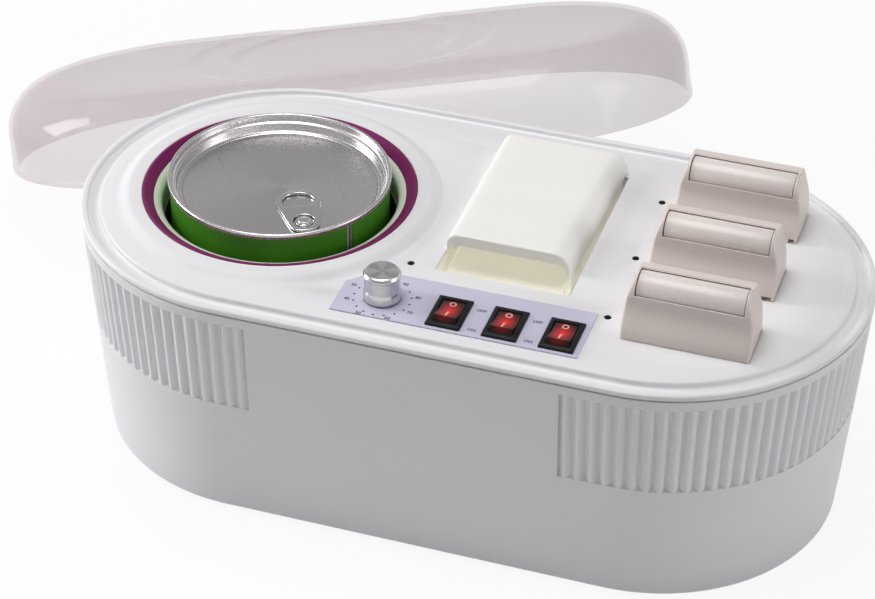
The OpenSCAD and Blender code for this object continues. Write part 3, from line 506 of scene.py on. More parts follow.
def fluting_tree():
    """Moves the points of the wall inwards between the ribs, by a rule on the rib phase and the height."""
    tree = link_group(None, "GeometryNodeTree", "fluting", [
        ("Geometry", "NodeSocketGeometry", None), ("Rib Depth", "NodeSocketFloat", rib_depth),
        ("Rib Width", "NodeSocketFloat", rib_w), ("Rib Pitch", "NodeSocketFloat", rib_pitch),
        ("Band Bottom", "NodeSocketFloat", band_z0), ("Band Top", "NodeSocketFloat", band_z1),
        ("Groove End", "NodeSocketFloat", groove_end), ("Groove Top", "NodeSocketFloat", groove_top),
        ("Finish", "NodeSocketMaterial", None)], [("Geometry", "NodeSocketGeometry")])
    tree.is_modifier = True
    enter = tree.nodes.new("NodeGroupInput")
    leave = tree.nodes.new("NodeGroupOutput")

    def stored(name, kind):
        node = tree.nodes.new("GeometryNodeInputNamedAttribute")
        node.data_type = kind
        node.inputs["Name"].default_value = name
        return node.outputs[0]

    height = tree.nodes.new("ShaderNodeSeparateXYZ")
    tree.links.new(tree.nodes.new("GeometryNodeInputPosition").outputs[0], height.inputs[0])
    shifted = maths(tree, "ADD", stored("rib_phase", "FLOAT"), 0.5001)
    off_crest = maths(tree, "SUBTRACT", maths(tree, "FRACT", shifted), 0.5001)
    across = maths(tree, "MULTIPLY", maths(tree, "ABSOLUTE", off_crest),
                   maths(tree, "DIVIDE", maths(tree, "MULTIPLY", enter.outputs["Rib Pitch"], 2.0),
                         enter.outputs["Rib Width"]))
    bulge = maths(tree, "MINIMUM", maths(tree, "MULTIPLY", across, across), 1.0)

    def run_out(distance, reach):
        part = maths(tree, "SUBTRACT", 1.0, maths(tree, "DIVIDE", distance, reach, True))
        return maths(tree, "SQRT", maths(tree, "SUBTRACT", 1.0, maths(tree, "MULTIPLY", part, part), True))

    bottom = run_out(maths(tree, "SUBTRACT", height.outputs["Z"], enter.outputs["Band Bottom"]),
                     enter.outputs["Groove End"])
    top = run_out(maths(tree, "SUBTRACT", enter.outputs["Band Top"], height.outputs["Z"]),
                  enter.outputs["Groove Top"])
    depth = maths(tree, "MINIMUM", bulge, maths(tree, "MINIMUM", bottom, top))
    depth = maths(tree, "MULTIPLY", maths(tree, "MULTIPLY", depth, enter.outputs["Rib Depth"]),
                  stored("on_band", "FLOAT"))
    inward = tree.nodes.new("ShaderNodeVectorMath")
    inward.operation = "SCALE"
    tree.links.new(stored("outward", "FLOAT_VECTOR"), inward.inputs[0])
    tree.links.new(maths(tree, "MULTIPLY", depth, -1.0), inward.inputs["Scale"])
    move = tree.nodes.new("GeometryNodeSetPosition")
    tree.links.new(enter.outputs["Geometry"], move.inputs["Geometry"])
    tree.links.new(inward.outputs[0], move.inputs["Offset"])
    real = tree.nodes.new("GeometryNodeRealizeInstances")
    tree.links.new(move.outputs[0], real.inputs[0])
    dress = tree.nodes.new("GeometryNodeSetMaterial")
    tree.links.new(real.outputs[0], dress.inputs["Geometry"])
    tree.links.new(enter.outputs["Finish"], dress.inputs["Material"])
    tree.links.new(dress.outputs[0], leave.inputs[0])
    return tree


def run_tree(obj, tree, **values):
    """Runs a Geometry Nodes tree on an object once and keeps the plain mesh that comes out."""
    step = obj.modifiers.new("make", "NODES")
    step.node_group = tree
    sockets = {i.name: i.identifier for i in tree.interface.items_tree if i.in_out == "INPUT"}
    for label, value in values.items():
        step[sockets[label.replace("_", " ").title()]] = value
    return settled(obj)


blank = loose_object("blank", fluted_shell())
run_tree(blank, fluting_tree(), finish=white_abs)
shell = bmesh.new()
shell.from_mesh(blank.data)
bpy.data.objects.remove(blank)
for layer in ("rib_phase", "on_band"):
    if shell.verts.layers.float.get(layer):
        shell.verts.layers.float.remove(shell.verts.layers.float[layer])
if shell.verts.layers.float_vector.get("outward"):
    shell.verts.layers.float_vector.remove(shell.verts.layers.float_vector["outward"])

# The inlet's opening goes through the rear wall, and the floor is a plate inside the wall's foot.
inlet_x, inlet_z = 12.0, 34.0
inlet_flange = (31.6, 24.6)
inlet_cut = prism(round_rect(inlet_x, inlet_z, inlet_flange[0], inlet_flange[1], 1.5, 3), -10, 10)
bmesh.ops.rotate(inlet_cut, cent=(0, 0, 0), matrix=Matrix.Rotation(math.radians(90), 3, "X"),
                 verts=inlet_cut.verts)
bmesh.ops.translate(inlet_cut, verts=inlet_cut.verts, vec=(0, wall_r(inlet_z), 0))
shell = carve(shell, inlet_cut)

floor_t = 3.0
foot_arm = bottom_r - 15.7
foot_at = (half_straight + foot_arm * math.cos(math.radians(51)), foot_arm * math.sin(math.radians(51)))
post_arm = bottom_r - 7.7
post_y = bottom_r - 6.7
posts = [(-half_straight - post_arm * math.cos(math.radians(34)), post_arm * math.sin(math.radians(34))),
         (33.8 - half_straight, post_y), (half_straight - 10.8, post_y)]
post_places = [(x, side * y) for x, y in posts for side in (-1, 1)]
foot_places = [(sx * foot_at[0], sy * foot_at[1]) for sx in (-1, 1) for sy in (-1, 1)]
pot_x = -88.5
cart_x = 108.7
plate_r = wall_r(0) - wall_t
plate = prism([(x + plate_r * nx, plate_r * ny) for x, nx, ny in outline_stations()], 0, floor_t)
holes = bmesh.new()
for x, y in post_places:
    prism(ring_of(x, y, 3.8, 24), -1, 5, holes)
for x, y in foot_places:
    prism(ring_of(x, y, 8.2, 40), -1, 1.2, holes)
for bank in (pot_x, cart_x):
    for i in range(6):
        prism(round_rect(bank + (i - 2.5) * 8, 0, 2.6, 28.6, 1.3, 5), -1, 5, holes)
plate = carve(plate, holes)
mesh = bpy.data.meshes.new("floor_plate")
plate.to_mesh(mesh)
plate.free()
shell.from_mesh(mesh)
bpy.data.meshes.remove(mesh)
piece("tub_shell", shell, "housing", white_abs, ["lower_housing"], degrees=34)

# ---- Feet and housing screws ----
# Four turned rubber pads glued in recesses, and six pan-head screws up the posts. Each is drawn once and
# set at its places by one node tree.
black_rubber = finish_of("black_rubber", paint(58, 58, 60), 0.8, drift=0.1, grain_size=0.3, relief=0.03)
plain_steel = finish_of("plain_steel", paint(190, 190, 192), 0.32, drift=0.08, grain_size=0.15, relief=0.004,
                        metallic=1.0)


def turned(profile, sides=48, centre=(0, 0), into=None):
    """A closed profile of (radius, height) spun round an upright axis."""
    shape = into or bmesh.new()
    cx, cy = centre
    rings = []
    for r, z in profile:
        if r < 1e-6:
            rings.append([shape.verts.new((cx, cy, z))])
        else:
            rings.append([shape.verts.new((x, y, z)) for x, y in ring_of(cx, cy, r, sides)])
    for k in range(len(rings)):
        low, high = rings[k], rings[(k + 1) % len(rings)]
        if len(low) == 1 and len(high) == 1:
            continue
        for i in range(sides):
            j = (i + 1) % sides
            if len(low) == 1:
                shape.faces.new((low[0], high[j], high[i]))
            elif len(high) == 1:
                shape.faces.new((low[i], low[j], high[0]))
            else:
                shape.faces.new((low[i], low[j], high[j], high[i]))
    return shape


def placing_tree():
    """Sets a copy of one piece on every point it is given."""
    tree = link_group(None, "GeometryNodeTree", "set_in_place", [
        ("Geometry", "NodeSocketGeometry", None), ("Piece", "NodeSocketObject", None),
        ("Turn", "NodeSocketVector", (0, 0, 0)), ("Size", "NodeSocketFloat", 1.0),
        ("Finish", "NodeSocketMaterial", None)], [("Geometry", "NodeSocketGeometry")])
    tree.is_modifier = True
    enter = tree.nodes.new("NodeGroupInput")
    leave = tree.nodes.new("NodeGroupOutput")
    source = tree.nodes.new("GeometryNodeObjectInfo")
    tree.links.new(enter.outputs["Piece"], source.inputs["Object"])
    points = tree.nodes.new("GeometryNodeMeshToPoints")
    tree.links.new(enter.outputs["Geometry"], points.inputs["Mesh"])
    copies = tree.nodes.new("GeometryNodeInstanceOnPoints")
    tree.links.new(points.outputs[0], copies.inputs["Points"])
    tree.links.new(source.outputs["Geometry"], copies.inputs["Instance"])
    tree.links.new(enter.outputs["Turn"], copies.inputs["Rotation"])
    tree.links.new(enter.outputs["Size"], copies.inputs["Scale"])
    real = tree.nodes.new("GeometryNodeRealizeInstances")
    tree.links.new(copies.outputs[0], real.inputs[0])
    dress = tree.nodes.new("GeometryNodeSetMaterial")
    tree.links.new(real.outputs[0], dress.inputs["Geometry"])
    tree.links.new(enter.outputs["Finish"], dress.inputs["Material"])
    tree.links.new(dress.outputs[0], leave.inputs[0])
    return tree


set_in_place = placing_tree()


def set_of(name, shape, places, body, material, stands_for=(), degrees=32):
    """Copies one drawn shape to every place, as one piece."""
    pattern = loose_object(name + "_pattern", shape)
    points = bmesh.new()
    for p in places:
        points.verts.new(p)
    holder = loose_object(name + "_points", points)
    run_tree(holder, set_in_place, piece=pattern, finish=material)
    made = bmesh.new()
    made.from_mesh(holder.data)
    bmesh.ops.remove_doubles(made, verts=made.verts, dist=1e-5)
    bpy.data.objects.remove(pattern)
    bpy.data.objects.remove(holder)
    return piece(name, made, body, material, stands_for, degrees)


foot = turned([(0, -1), (7.2, -1), (7.7, -0.85), (7.95, -0.45), (8, 0.1), (8, 1.1), (0, 1.1)], 40)
set_of("rubber_pads", foot, [(x, y, 0) for x, y in foot_places], "housing", black_rubber,
       ["rubber_feet"])


def pan_screw(head_r, head_h, shank_r, length, recess=1.2):
    """A screw with its head down: domed head with a square drive, then the shank."""
    shape = turned([(0, 0.35), (recess * 0.7, 0.35), (recess, 0.0), (head_r * 0.75, 0.0),
                    (head_r * 0.93, head_h * 0.25),
                    (head_r, head_h * 0.6), (head_r, head_h), (shank_r, head_h), (shank_r, length - 0.6),
                    (shank_r * 0.4, length), (0, length)], 20)
    return shape


set_of("housing_screw_set", pan_screw(3.4, 2.3, 1.75, 24), [(x, y, 51.1) for x, y in post_places], "housing",
       plain_steel, ["housing_screws"])

# ---- Top cover ----
# A glossy white moulding: flat deck, sloping margin, a channel that the lid stands in and a rounded rim.
# A soft raised ring carries the pot's collar, and square and round openings take the other parts.
gloss_white = finish_of("gloss_white", paint(238, 237, 239), 0.36, drift=0.015, grain_size=0.7, relief=0.006,
                        specular=0.35)
deck_z, under_z, rim_z, channel_z = 114.4, 112.0, 113.2, 110.9
rim_in_r, deck_r, flat_r = 87.0, 81.8, 75.8
lip_in, lip_out = wall_r(104) - 5.4, wall_r(104) - 3.2
cover_profile = filleted(
    [(flat_r, deck_z), (deck_r, deck_z - 0.8), (deck_r + 0.3, channel_z), (rim_in_r, channel_z),
     (rim_in_r + 0.2, rim_z), (top_r, rim_z), (top_r, parting_z + 0.8), (lip_out, parting_z + 0.8),
     (lip_out, parting_z - 6), (lip_in, parting_z - 6), (lip_in, channel_z - 2.4),
     (deck_r - 2.4, channel_z - 2.4),
     (deck_r - 2.4, under_z), (flat_r, under_z)],
    [0, 1.3, 2.4, 0.9, 0.8, 1.9, 0.3, 0, 0.4, 0.4, 0, 0, 0, 0])
cover = swept(cover_profile, outline_stations(arc_steps=72))

tray_x0, tray_y0, tray_w, tray_l = -5.5, -34.5, 59.8, 95.0
hood_ledge, hood_ledge_y = 3.1, -14.5
well_w, well_d, well_round = 52.4, 24.4, 6.0
cart_ys = (-44.2, 0.8, 45.8)
switch_xs, switch_y = (10.6, 34.9, 59.2), -63.9
knob_x, knob_y = -19.5, -61.8
led_places = [(-16.4, -33.5)] + [(73.2, y) for y in cart_ys]
deck = prism([(x + flat_r * nx, flat_r * ny) for x, nx, ny in outline_stations(arc_steps=72)], under_z,
             deck_z)
openings = bmesh.new()
prism(ring_of(pot_x, 0, 66, 96), 100, 120, openings)
prism([(tray_x0, tray_y0), (tray_x0 + tray_w, tray_y0), (tray_x0 + tray_w, tray_y0 + tray_l),
       (tray_x0 + hood_ledge, tray_y0 + tray_l), (tray_x0 + hood_ledge, hood_ledge_y),
       (tray_x0, hood_ledge_y)],
      100, 120, openings)
for y in cart_ys:
    prism(round_rect(cart_x, y, well_w, well_d, well_round), 100, 120, openings)
for x in switch_xs:
    prism(round_rect(x, switch_y, 13.0, 19.2, 0.4, 1), 100, 120, openings)
prism(ring_of(knob_x, knob_y, 4.3), 100, 120, openings)
for x, y in led_places:
    prism(ring_of(x, y, 1.55, 20), 100, 120, openings)
deck = chamfered(carve(deck, openings), 0.35, 2, 60)
mesh = bpy.data.meshes.new("deck")
deck.to_mesh(mesh)
deck.free()
cover.from_mesh(mesh)
bpy.data.meshes.remove(mesh)

boss_z = 117.0
boss_slope = [(65.8 + 6.4 * t, deck_z - 0.02 + 2.62 * (1 - t * t * (3 - 2 * t))) for t in
              (0, 0.08, 0.18, 0.3, 0.42, 0.54, 0.66, 0.78, 0.88, 0.95, 1)]
boss = [(60.7, 113.2), (60.7, boss_z - 0.25), (60.95, boss_z)] + boss_slope + [
    (72.2, 113.0), (59.0, 112.0), (59.0, 98.0), (53.5, 98.0), (53.5, 100.4), (56.6, 100.4), (56.6, 113.2)]
turned(boss, 128, (pot_x, 0), cover)
for x, y in post_places:
    turned([(1.8, 60.1), (4.2, 60.1), (4.2, 112.2), (1.8, 112.2)], 20, (x, y), cover)
piece("cover_moulding", cover, "housing", gloss_white, ["top_cover"], degrees=30)

# ---- Pot stack ----
# From the outside in: a magenta trim ring, a pale plastic liner, and the spun aluminium pot that the tin
# drops into. The heater mat and the fuse are clamped round and under the pot.
magenta = finish_of("magenta_trim", paint(122, 24, 90), 0.5, drift=0.08, grain_size=0.4, relief=0.01,
                    specular=0.25)
liner_plastic = finish_of("liner_plastic", paint(222, 224, 214), 0.4, drift=0.03, grain_size=0.5,
                          relief=0.008)
spun_aluminium = finish_of("spun_aluminium", paint(150, 151, 153), 0.38, drift=0.1, grain_size=0.25,
                           relief=0.01,
                           stretch=(1, 1, 8), metallic=1.0)
orange_silicone = finish_of("orange_silicone", paint(196, 92, 44), 0.7, drift=0.1, grain_size=0.5,
                            relief=0.05)
collar_profile = filleted([(55.7, 113.3), (60.5, 113.3), (60.5, 117.2), (59.4, 117.25), (55.7, 114.6)],
                          [0, 0, 0.5, 0.8, 0.3])
piece("trim_ring", turned(collar_profile, 128, (pot_x, 0)), "housing", magenta, ["pot_collar"],
      degrees=40)
liner_arc = [(55.6 + 3.6 * math.cos(math.radians(a)), 110.5 + 3.6 * math.sin(math.radians(a)))
             for a in range(100, 181, 8)]
liner_profile = [(52.0, 102.1), (56.5, 102.1), (56.5, 113.15), (55.6, 113.15), (55.6, 114.1)] + liner_arc
piece("liner_ring", turned(liner_profile, 128, (pot_x, 0)), "housing", liner_plastic, ["pot_liner"],
      degrees=40)
coat_node("heating_pot", spun_aluminium)
coat_node("heater_band", orange_silicone)
coat_node("thermal_fuse", plain_steel)

# ---- Tin ----
# A drawn tinplate can of wax: green lacquer with a printed seam on the wall, a rolled double seam, and an
# easy-open end with two pressed grooves, a rivet and a ring pull.
tin_r, tin_wall_r = 49.2, 48.3
tin_z, tin_top_z = 17.5, 124.6
tin_body_profile = [(0, tin_z + 1.4), (tin_r - 4, tin_z + 1.4), (tin_r - 1.6, tin_z + 0.2),
                    (tin_r - 0.6, tin_z),
                    (tin_r, tin_z + 0.5), (tin_r, tin_z + 2.5), (tin_wall_r, tin_z + 3.4)]
tin_body_profile += [(tin_wall_r, z) for z in (30, 60, 90, 110, tin_top_z - 3.6)]
tin_body_profile += [(tin_wall_r + 0.5, tin_top_z - 2.7), (tin_wall_r + 0.5, tin_top_z - 2.35),
                     (tin_wall_r - 0.4, tin_top_z - 2.35), (tin_wall_r - 0.4, tin_z + 2), (0, tin_z + 2)]


def lacquer():
    """Green lacquer with the lighter overlap of the printed sheet."""
    made = finish_of("green_lacquer", paint(76, 150, 32), 0.34, drift=0.06, grain_size=0.6, relief=0.004,
                     specular=0.3)
    tree = made.node_tree
    shader = tree.nodes["Principled BSDF"]
    skin_node = next(n for n in tree.nodes if n.type == "GROUP")
    place = tree.nodes.new("ShaderNodeTexCoord")
    apart = tree.nodes.new("ShaderNodeSeparateXYZ")
    tree.links.new(place.outputs["Object"], apart.inputs[0])
    about = maths(tree, "ARCTAN2", apart.outputs["Y"], maths(tree, "SUBTRACT", apart.outputs["X"],
                                                             pot_x * mm))
    seam_at = math.radians(-31)

    def stripe(offset, half_width):
        gap = maths(tree, "ABSOLUTE", maths(tree, "SUBTRACT", about, seam_at + math.radians(offset)))
        return maths(tree, "LESS_THAN", gap, math.radians(half_width))

    last = skin_node.outputs["Colour"]
    for offset, half_width, colour in ((0, 1.9, paint(70, 92, 52)), (-1.1, 0.45, paint(196, 190, 186)),
                                       (0.9, 0.4, paint(168, 150, 160))):
        mix = tree.nodes.new("ShaderNodeMix")
        mix.data_type = "RGBA"
        tree.links.new(stripe(offset, half_width), mix.inputs["Factor"])
        tree.links.new(last, mix.inputs[6])
        mix.inputs[7].default_value = colour
        last = mix.outputs[2]
    tree.links.new(last, shader.inputs["Base Color"])
    return made


piece("tin_wall", turned(tin_body_profile, 128, (pot_x, 0)), "can", lacquer(), ["tin_body"])
wax_block = finish_of("wax_block", paint(214, 176, 92), 0.35, drift=0.1, grain_size=3, relief=0.1)
coat_node("wax_fill", wax_block)

bright_tinplate = finish_of("bright_tinplate", paint(206, 205, 206), 0.2, drift=0.06, grain_size=0.12,
                            relief=0.002, metallic=1.0)
rolled_tinplate = finish_of("rolled_tinplate", paint(204, 201, 202), 0.26, drift=0.12, grain_size=0.35,
                            relief=0.006,
                            stretch=(0.12, 1, 1), metallic=1.0, anisotropic=0.4)
panel_z = 117.3
end_profile = filleted(
    [(0, 116.9), (45.2, 116.9), (tin_r - 3.3, 120.4), (tin_r - 2, 121.2), (tin_r - 1.6, 122.4),
     (tin_r, 122.4),
     (tin_r, tin_top_z), (tin_r - 1.6, tin_top_z), (tin_r - 2.1, 121.9), (tin_r - 2.5, 121.4),
     (tin_r - 3.5, 120.9),
     (45.0, panel_z), (43.6, panel_z), (43.2, panel_z - 0.25), (42.8, panel_z), (0, panel_z)],
    [0, 0.3, 0.3, 0.3, 0.2, 0.3, 0.75, 0.75, 0.3, 0.5, 0.4, 0.5, 0.1, 0.1, 0.1, 0], 4)
pull_turn = math.radians(-55)


def in_pull_plan(u, v):
    return (pot_x + u * math.cos(pull_turn) - v * math.sin(pull_turn),
            u * math.sin(pull_turn) + v * math.cos(pull_turn))


grooves = bmesh.new()
for v in (-1, 1):
    ends = [in_pull_plan(-4.4 + side * 24, 1.9 + v * 22.7) for side in (-1, 1)]
    across = Vector((-math.sin(pull_turn), math.cos(pull_turn))) * 0.62
    along = Vector((math.cos(pull_turn), math.sin(pull_turn))) * 0.62
    a, b = Vector(ends[0]), Vector(ends[1])
    prism([tuple(p) for p in (a - across, b - across, b + along, b + across, a + across, a - along)],
          panel_z - 0.3, panel_z + 1, grooves)
can_end = carve(turned(end_profile, 128, (pot_x, 0)), grooves)
piece("tin_end", can_end, "can", rolled_tinplate, ["tin_lid"], degrees=38)


def cad_copy(node):
    """A merged copy of a CAD node's mesh, in millimetres, with its flat faces joined."""
    shape = bmesh.new()
    shape.from_mesh(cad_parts[node].data)
    bmesh.ops.scale(shape, vec=(1 / mm, 1 / mm, 1 / mm), verts=shape.verts)
    bmesh.ops.remove_doubles(shape, verts=shape.verts, dist=1e-3)
    bmesh.ops.dissolve_limit(shape, angle_limit=math.radians(0.6), verts=shape.verts, edges=shape.edges)
    return shape


def eased(name, node, body, material, width, segments=2, degrees=40, smooth=32):
    """A CAD node with its sharp edges rounded off."""
    return piece(name, chamfered(cad_copy(node), width, segments, degrees), body, material, [node],
                 smooth)


eased("ring_pull", "pull_tab", "ring_pull", bright_tinplate, 0.32, 3, 50)
eased("tongue_and_rivet", "pull_rivet", "can", bright_tinplate, 0.18, 2, 35)

# ---- Control panel ----
# A printed lavender-grey plastic plate stuck on the deck. Dots and plain numbers run round the knob, and
# small words stand beside the switches.
plate_print = finish_of("plate_print", paint(206, 204, 224), 0.5, drift=0.03, grain_size=0.4, relief=0.004,
                        specular=0.3)
ink = finish_of("ink", paint(34, 35, 66), 0.6, drift=0.05, grain_size=0.3, relief=0.002)
eased("panel_plate", "control_panel", "housing", plate_print, 0.12, 1, 50)
print_z = 115.0
dial_x, dial_y, dial_r = -19.3, -62.3, 12.2
dial_from, dial_to, dial_steps = 40, -220, 13
dot = turned([(0, 0), (0.5, 0), (0.5, 0.03), (0, 0.03)], 12)
dial_step = (dial_to - dial_from) / (dial_steps - 1)
dial_angles = [math.radians(dial_from + dial_step * i) for i in range(dial_steps)]
dot_places = [(dial_x + dial_r * math.cos(a), dial_y + dial_r * math.sin(a), print_z) for a in dial_angles]
set_of("dial_dots", dot, dot_places, "housing", ink)


def lettering(name, entries, material, z, body):
    """Small printed words as flat meshes: each entry is text, x, y, height and turn in degrees."""
    words = bmesh.new()
    for text, x, y, size, turn in entries:
        curve = bpy.data.curves.new(name, "FONT")
        curve.body = text
        curve.size = size
        curve.align_x, curve.align_y = "CENTER", "CENTER"
        curve.extrude = 0.015
        curve.offset = 0.05
        curve.resolution_u = 2
        holder = bpy.data.objects.new(name, curve)
        bpy.context.collection.objects.link(holder)
        graph = bpy.context.evaluated_depsgraph_get()
        mesh = bpy.data.meshes.new_from_object(holder.evaluated_get(graph))
        mesh.transform(Matrix.Translation((x, y, z + 0.015)) @ Matrix.Rotation(math.radians(turn), 4, "Z"))
        words.from_mesh(mesh)
        bpy.data.objects.remove(holder)
        bpy.data.curves.remove(curve)
        bpy.data.meshes.remove(mesh)
    bmesh.ops.remove_doubles(words, verts=words.verts, dist=1e-4)
    return piece(name, words, body, material, degrees=20)


dial_labels = [(-33.8, -57.0), (-33.4, -67.2), (-25.5, -75.3), (-12.9, -75.1), (-5.2, -68.5), (-5.2, -57.4),
               (-13.2, -49.9)]
lettering("dial_numbers", [(str(30 + 10 * i), x, y, 2.5, 0) for i, (x, y) in enumerate(dial_labels)], ink,
          print_z,
          "housing")
lettering("switch_words", [(word, x + 12.1, switch_y + dy, 2.4, 0) for x in switch_xs[:2]
                           for word, dy in (("OFF", 6.2), ("ON", -7.8))], ink, print_z, "housing")

# ---- Knob and thermostat ----
# A turned aluminium knob on the thermostat's steel shaft: polished flared foot, brushed waist, bright
# chamfer and a spun top. The thermostat hangs under the deck by its nut.
knob_profile = filleted(
    [(0, 3.4), (7.2, 3.4), (7.2, 0.1), (7.9, 0), (8.2, 0.5), (8.2, 1.6), (7.95, 3.2), (7.55, 4.6),
     (7.5, 10.4),
     (7.95, 11.0), (8.05, 11.9), (7.3, 12.95), (6.7, 13.2), (0, 13.2)],
    [0, 0, 0.1, 0.2, 0.2, 0.5, 0.8, 0.6, 0.2, 0.2, 0.15, 0.15, 0.1, 0], 3)
knob_z = 115.6


def turned_metal(name, colour, roughness, rings):
    """Bright metal with fine lathe marks round the knob's own axis, and a painted highlight in bright and
    dark sectors on its flat top.
    """
    made = finish_of(name, colour, roughness, drift=0.08, grain_size=0.2, relief=0.002, metallic=1.0)
    tree = made.node_tree
    shader = tree.nodes["Principled BSDF"]
    skin_node = next(n for n in tree.nodes if n.type == "GROUP")
    place = tree.nodes.new("ShaderNodeTexCoord")
    centred = tree.nodes.new("ShaderNodeMapping")
    centred.inputs["Location"].default_value = (-knob_x * mm, -knob_y * mm, 0)
    tree.links.new(place.outputs["Object"], centred.inputs["Vector"])
    apart = tree.nodes.new("ShaderNodeSeparateXYZ")
    tree.links.new(centred.outputs[0], apart.inputs[0])
    squares = [maths(tree, "MULTIPLY", apart.outputs[axis], apart.outputs[axis]) for axis in "XY"]
    radius = maths(tree, "SQRT", maths(tree, "ADD", *squares))
    lathe = tree.nodes.new("ShaderNodeCombineXYZ")
    tree.links.new(radius, lathe.inputs["X"])
    tree.links.new(apart.outputs["Z"], lathe.inputs["Z"])
    marks = tree.nodes.new("ShaderNodeTexNoise")
    marks.inputs["Scale"].default_value = rings
    marks.inputs["Detail"].default_value = 1
    tree.links.new(lathe.outputs[0], marks.inputs["Vector"])
    swing = maths(tree, "MULTIPLY", maths(tree, "SUBTRACT", marks.outputs["Fac"], 0.5), 0.35)
    tree.links.new(maths(tree, "ADD", skin_node.outputs["Roughness"], swing, True),
                   shader.inputs["Roughness"])
    # a spun top shows bright and dark sectors that run out from the middle; here they are a painted highlight
    # and painted shade in the flat top's base colour
    around = maths(tree, "ARCTAN2", apart.outputs["Y"], apart.outputs["X"])
    painted_sheen_sectors = maths(tree, "SINE", maths(tree, "MULTIPLY", around, 4.0))
    flat_top = maths(tree, "GREATER_THAN", apart.outputs["Z"], (knob_z + 13.1) * mm)
    shade = maths(tree, "ADD", 1.0, maths(tree, "MULTIPLY", maths(tree, "MULTIPLY", painted_sheen_sectors, 0.16), flat_top))
    sheen_painted_colour = tree.nodes.new("ShaderNodeVectorMath")
    sheen_painted_colour.operation = "SCALE"
    tree.links.new(skin_node.outputs["Colour"], sheen_painted_colour.inputs[0])
    tree.links.new(shade, sheen_painted_colour.inputs["Scale"])
    tree.links.new(sheen_painted_colour.outputs[0], shader.inputs["Base Color"])
    return made


knob_metal = turned_metal("turned_aluminium", paint(206, 206, 207), 0.24, 9000)
piece("knob_turned", turned([(r, z + knob_z) for r, z in knob_profile], 96, (knob_x, knob_y)), "knob",
      knob_metal, ["knob"], degrees=30)
tan_resin = finish_of("tan_resin", paint(196, 178, 140), 0.6, drift=0.1, grain_size=0.5, relief=0.02)
coat_node("thermostat", tan_resin)
coat_node("thermostat_shaft", plain_steel)
coat_node("thermostat_nut", plain_steel)

# ---- Rocker switches ----
# Snap-in switches: a glossy black bezel with a bevelled edge, and a translucent red rocker lit from inside,
# brightest in the middle. A pale ring marks off and a pale bar marks on.
switch_black = finish_of("switch_black", paint(16, 15, 19), 0.42, drift=0.1, grain_size=0.3, relief=0.006,
                         specular=0.22)
mark_white = finish_of("mark_white", paint(236, 188, 180), 0.5, drift=0.02, grain_size=0.3, relief=0.002)
rocker_z, rocker_valley = 113.2, 3.1
rocker_tip = math.radians(9)


def lit_red(name, centre):
    """Red polycarbonate with a lamp inside: the glow falls off towards the edges."""
    made = finish_of(name, paint(150, 14, 12), 0.3, drift=0.15, grain_size=1.2, relief=0.01, specular=0.25)
    tree = made.node_tree
    shader = tree.nodes["Principled BSDF"]
    place = tree.nodes.new("ShaderNodeTexCoord")
    centred = tree.nodes.new("ShaderNodeMapping")
    centred.vector_type = "POINT"
    centred.inputs["Location"].default_value = tuple(-c * mm for c in centre)
    tree.links.new(place.outputs["Object"], centred.inputs["Vector"])
    flat = tree.nodes.new("ShaderNodeVectorMath")
    flat.operation = "MULTIPLY"
    flat.inputs[1].default_value = (1 / (5.6 * mm), 1 / (9.0 * mm), 0)
    tree.links.new(centred.outputs[0], flat.inputs[0])
    size = tree.nodes.new("ShaderNodeVectorMath")
    size.operation = "LENGTH"
    tree.links.new(flat.outputs[0], size.inputs[0])
    fall = tree.nodes.new("ShaderNodeValToRGB")
    fall.color_ramp.elements[0].position = 0.0
    fall.color_ramp.elements[0].color = paint(214, 44, 34)
    fall.color_ramp.elements[1].position = 1.0
    fall.color_ramp.elements[1].color = paint(30, 2, 4)
    middle = fall.color_ramp.elements.new(0.34)
    middle.color = paint(168, 16, 16)
    outer = fall.color_ramp.elements.new(0.72)
    outer.color = paint(92, 8, 10)
    tree.links.new(size.outputs["Value"], fall.inputs[0])
    tree.links.new(fall.outputs[0], shader.inputs["Base Color"])
    tree.links.new(fall.outputs[0], shader.inputs["Emission Color"])
    shader.inputs["Emission Strength"].default_value = 0.3
    return made


def on_rocker(points_shape, x):
    """Moves a shape from the rocker's own frame to its place, rear end pressed."""
    bmesh.ops.rotate(points_shape, cent=(0, 0, 0), matrix=Matrix.Rotation(-rocker_tip, 3, "X"),
                     verts=points_shape.verts)
    bmesh.ops.translate(points_shape, verts=points_shape.verts, vec=(x, switch_y, rocker_z))
    return points_shape


def tilt_to_face(shape, y):
    """Lays a flat mark on the front or the rear face of the rocker."""
    bmesh.ops.rotate(shape, cent=(0, 0, 0), matrix=Matrix.Rotation(math.copysign(rocker_tip, y), 3, "X"),
                     verts=shape.verts)
    bmesh.ops.translate(shape, verts=shape.verts,
                        vec=(0, y, rocker_valley + abs(y) * math.tan(rocker_tip) + 0.02))
    return shape


for i, x in enumerate(switch_xs, 1):
    eased(f"switch_bezel_{i}", f"switch_case_{i}", "housing", switch_black, 0.22, 2, 30)
    eased(f"rocker_cap_{i}", f"rocker_{i}", f"rocker_{i}",
          lit_red(f"lit_red_{i}", (x, switch_y - 0.4, 0)), 0.35, 3, 35)
    ring_mark = tilt_to_face(turned([(0.95, 0), (1.5, 0), (1.5, 0.04), (0.95, 0.04)], 28), 4.6)
    bar = tilt_to_face(prism(round_rect(0, 0, 0.85, 5.2, 0.35, 3), 0, 0.04), -4.1)
    mesh = bpy.data.meshes.new("bar")
    bar.to_mesh(mesh)
    bar.free()
    ring_mark.from_mesh(mesh)
    bpy.data.meshes.remove(mesh)
    piece(f"rocker_marks_{i}", on_rocker(ring_mark, x), f"rocker_{i}", mark_white)

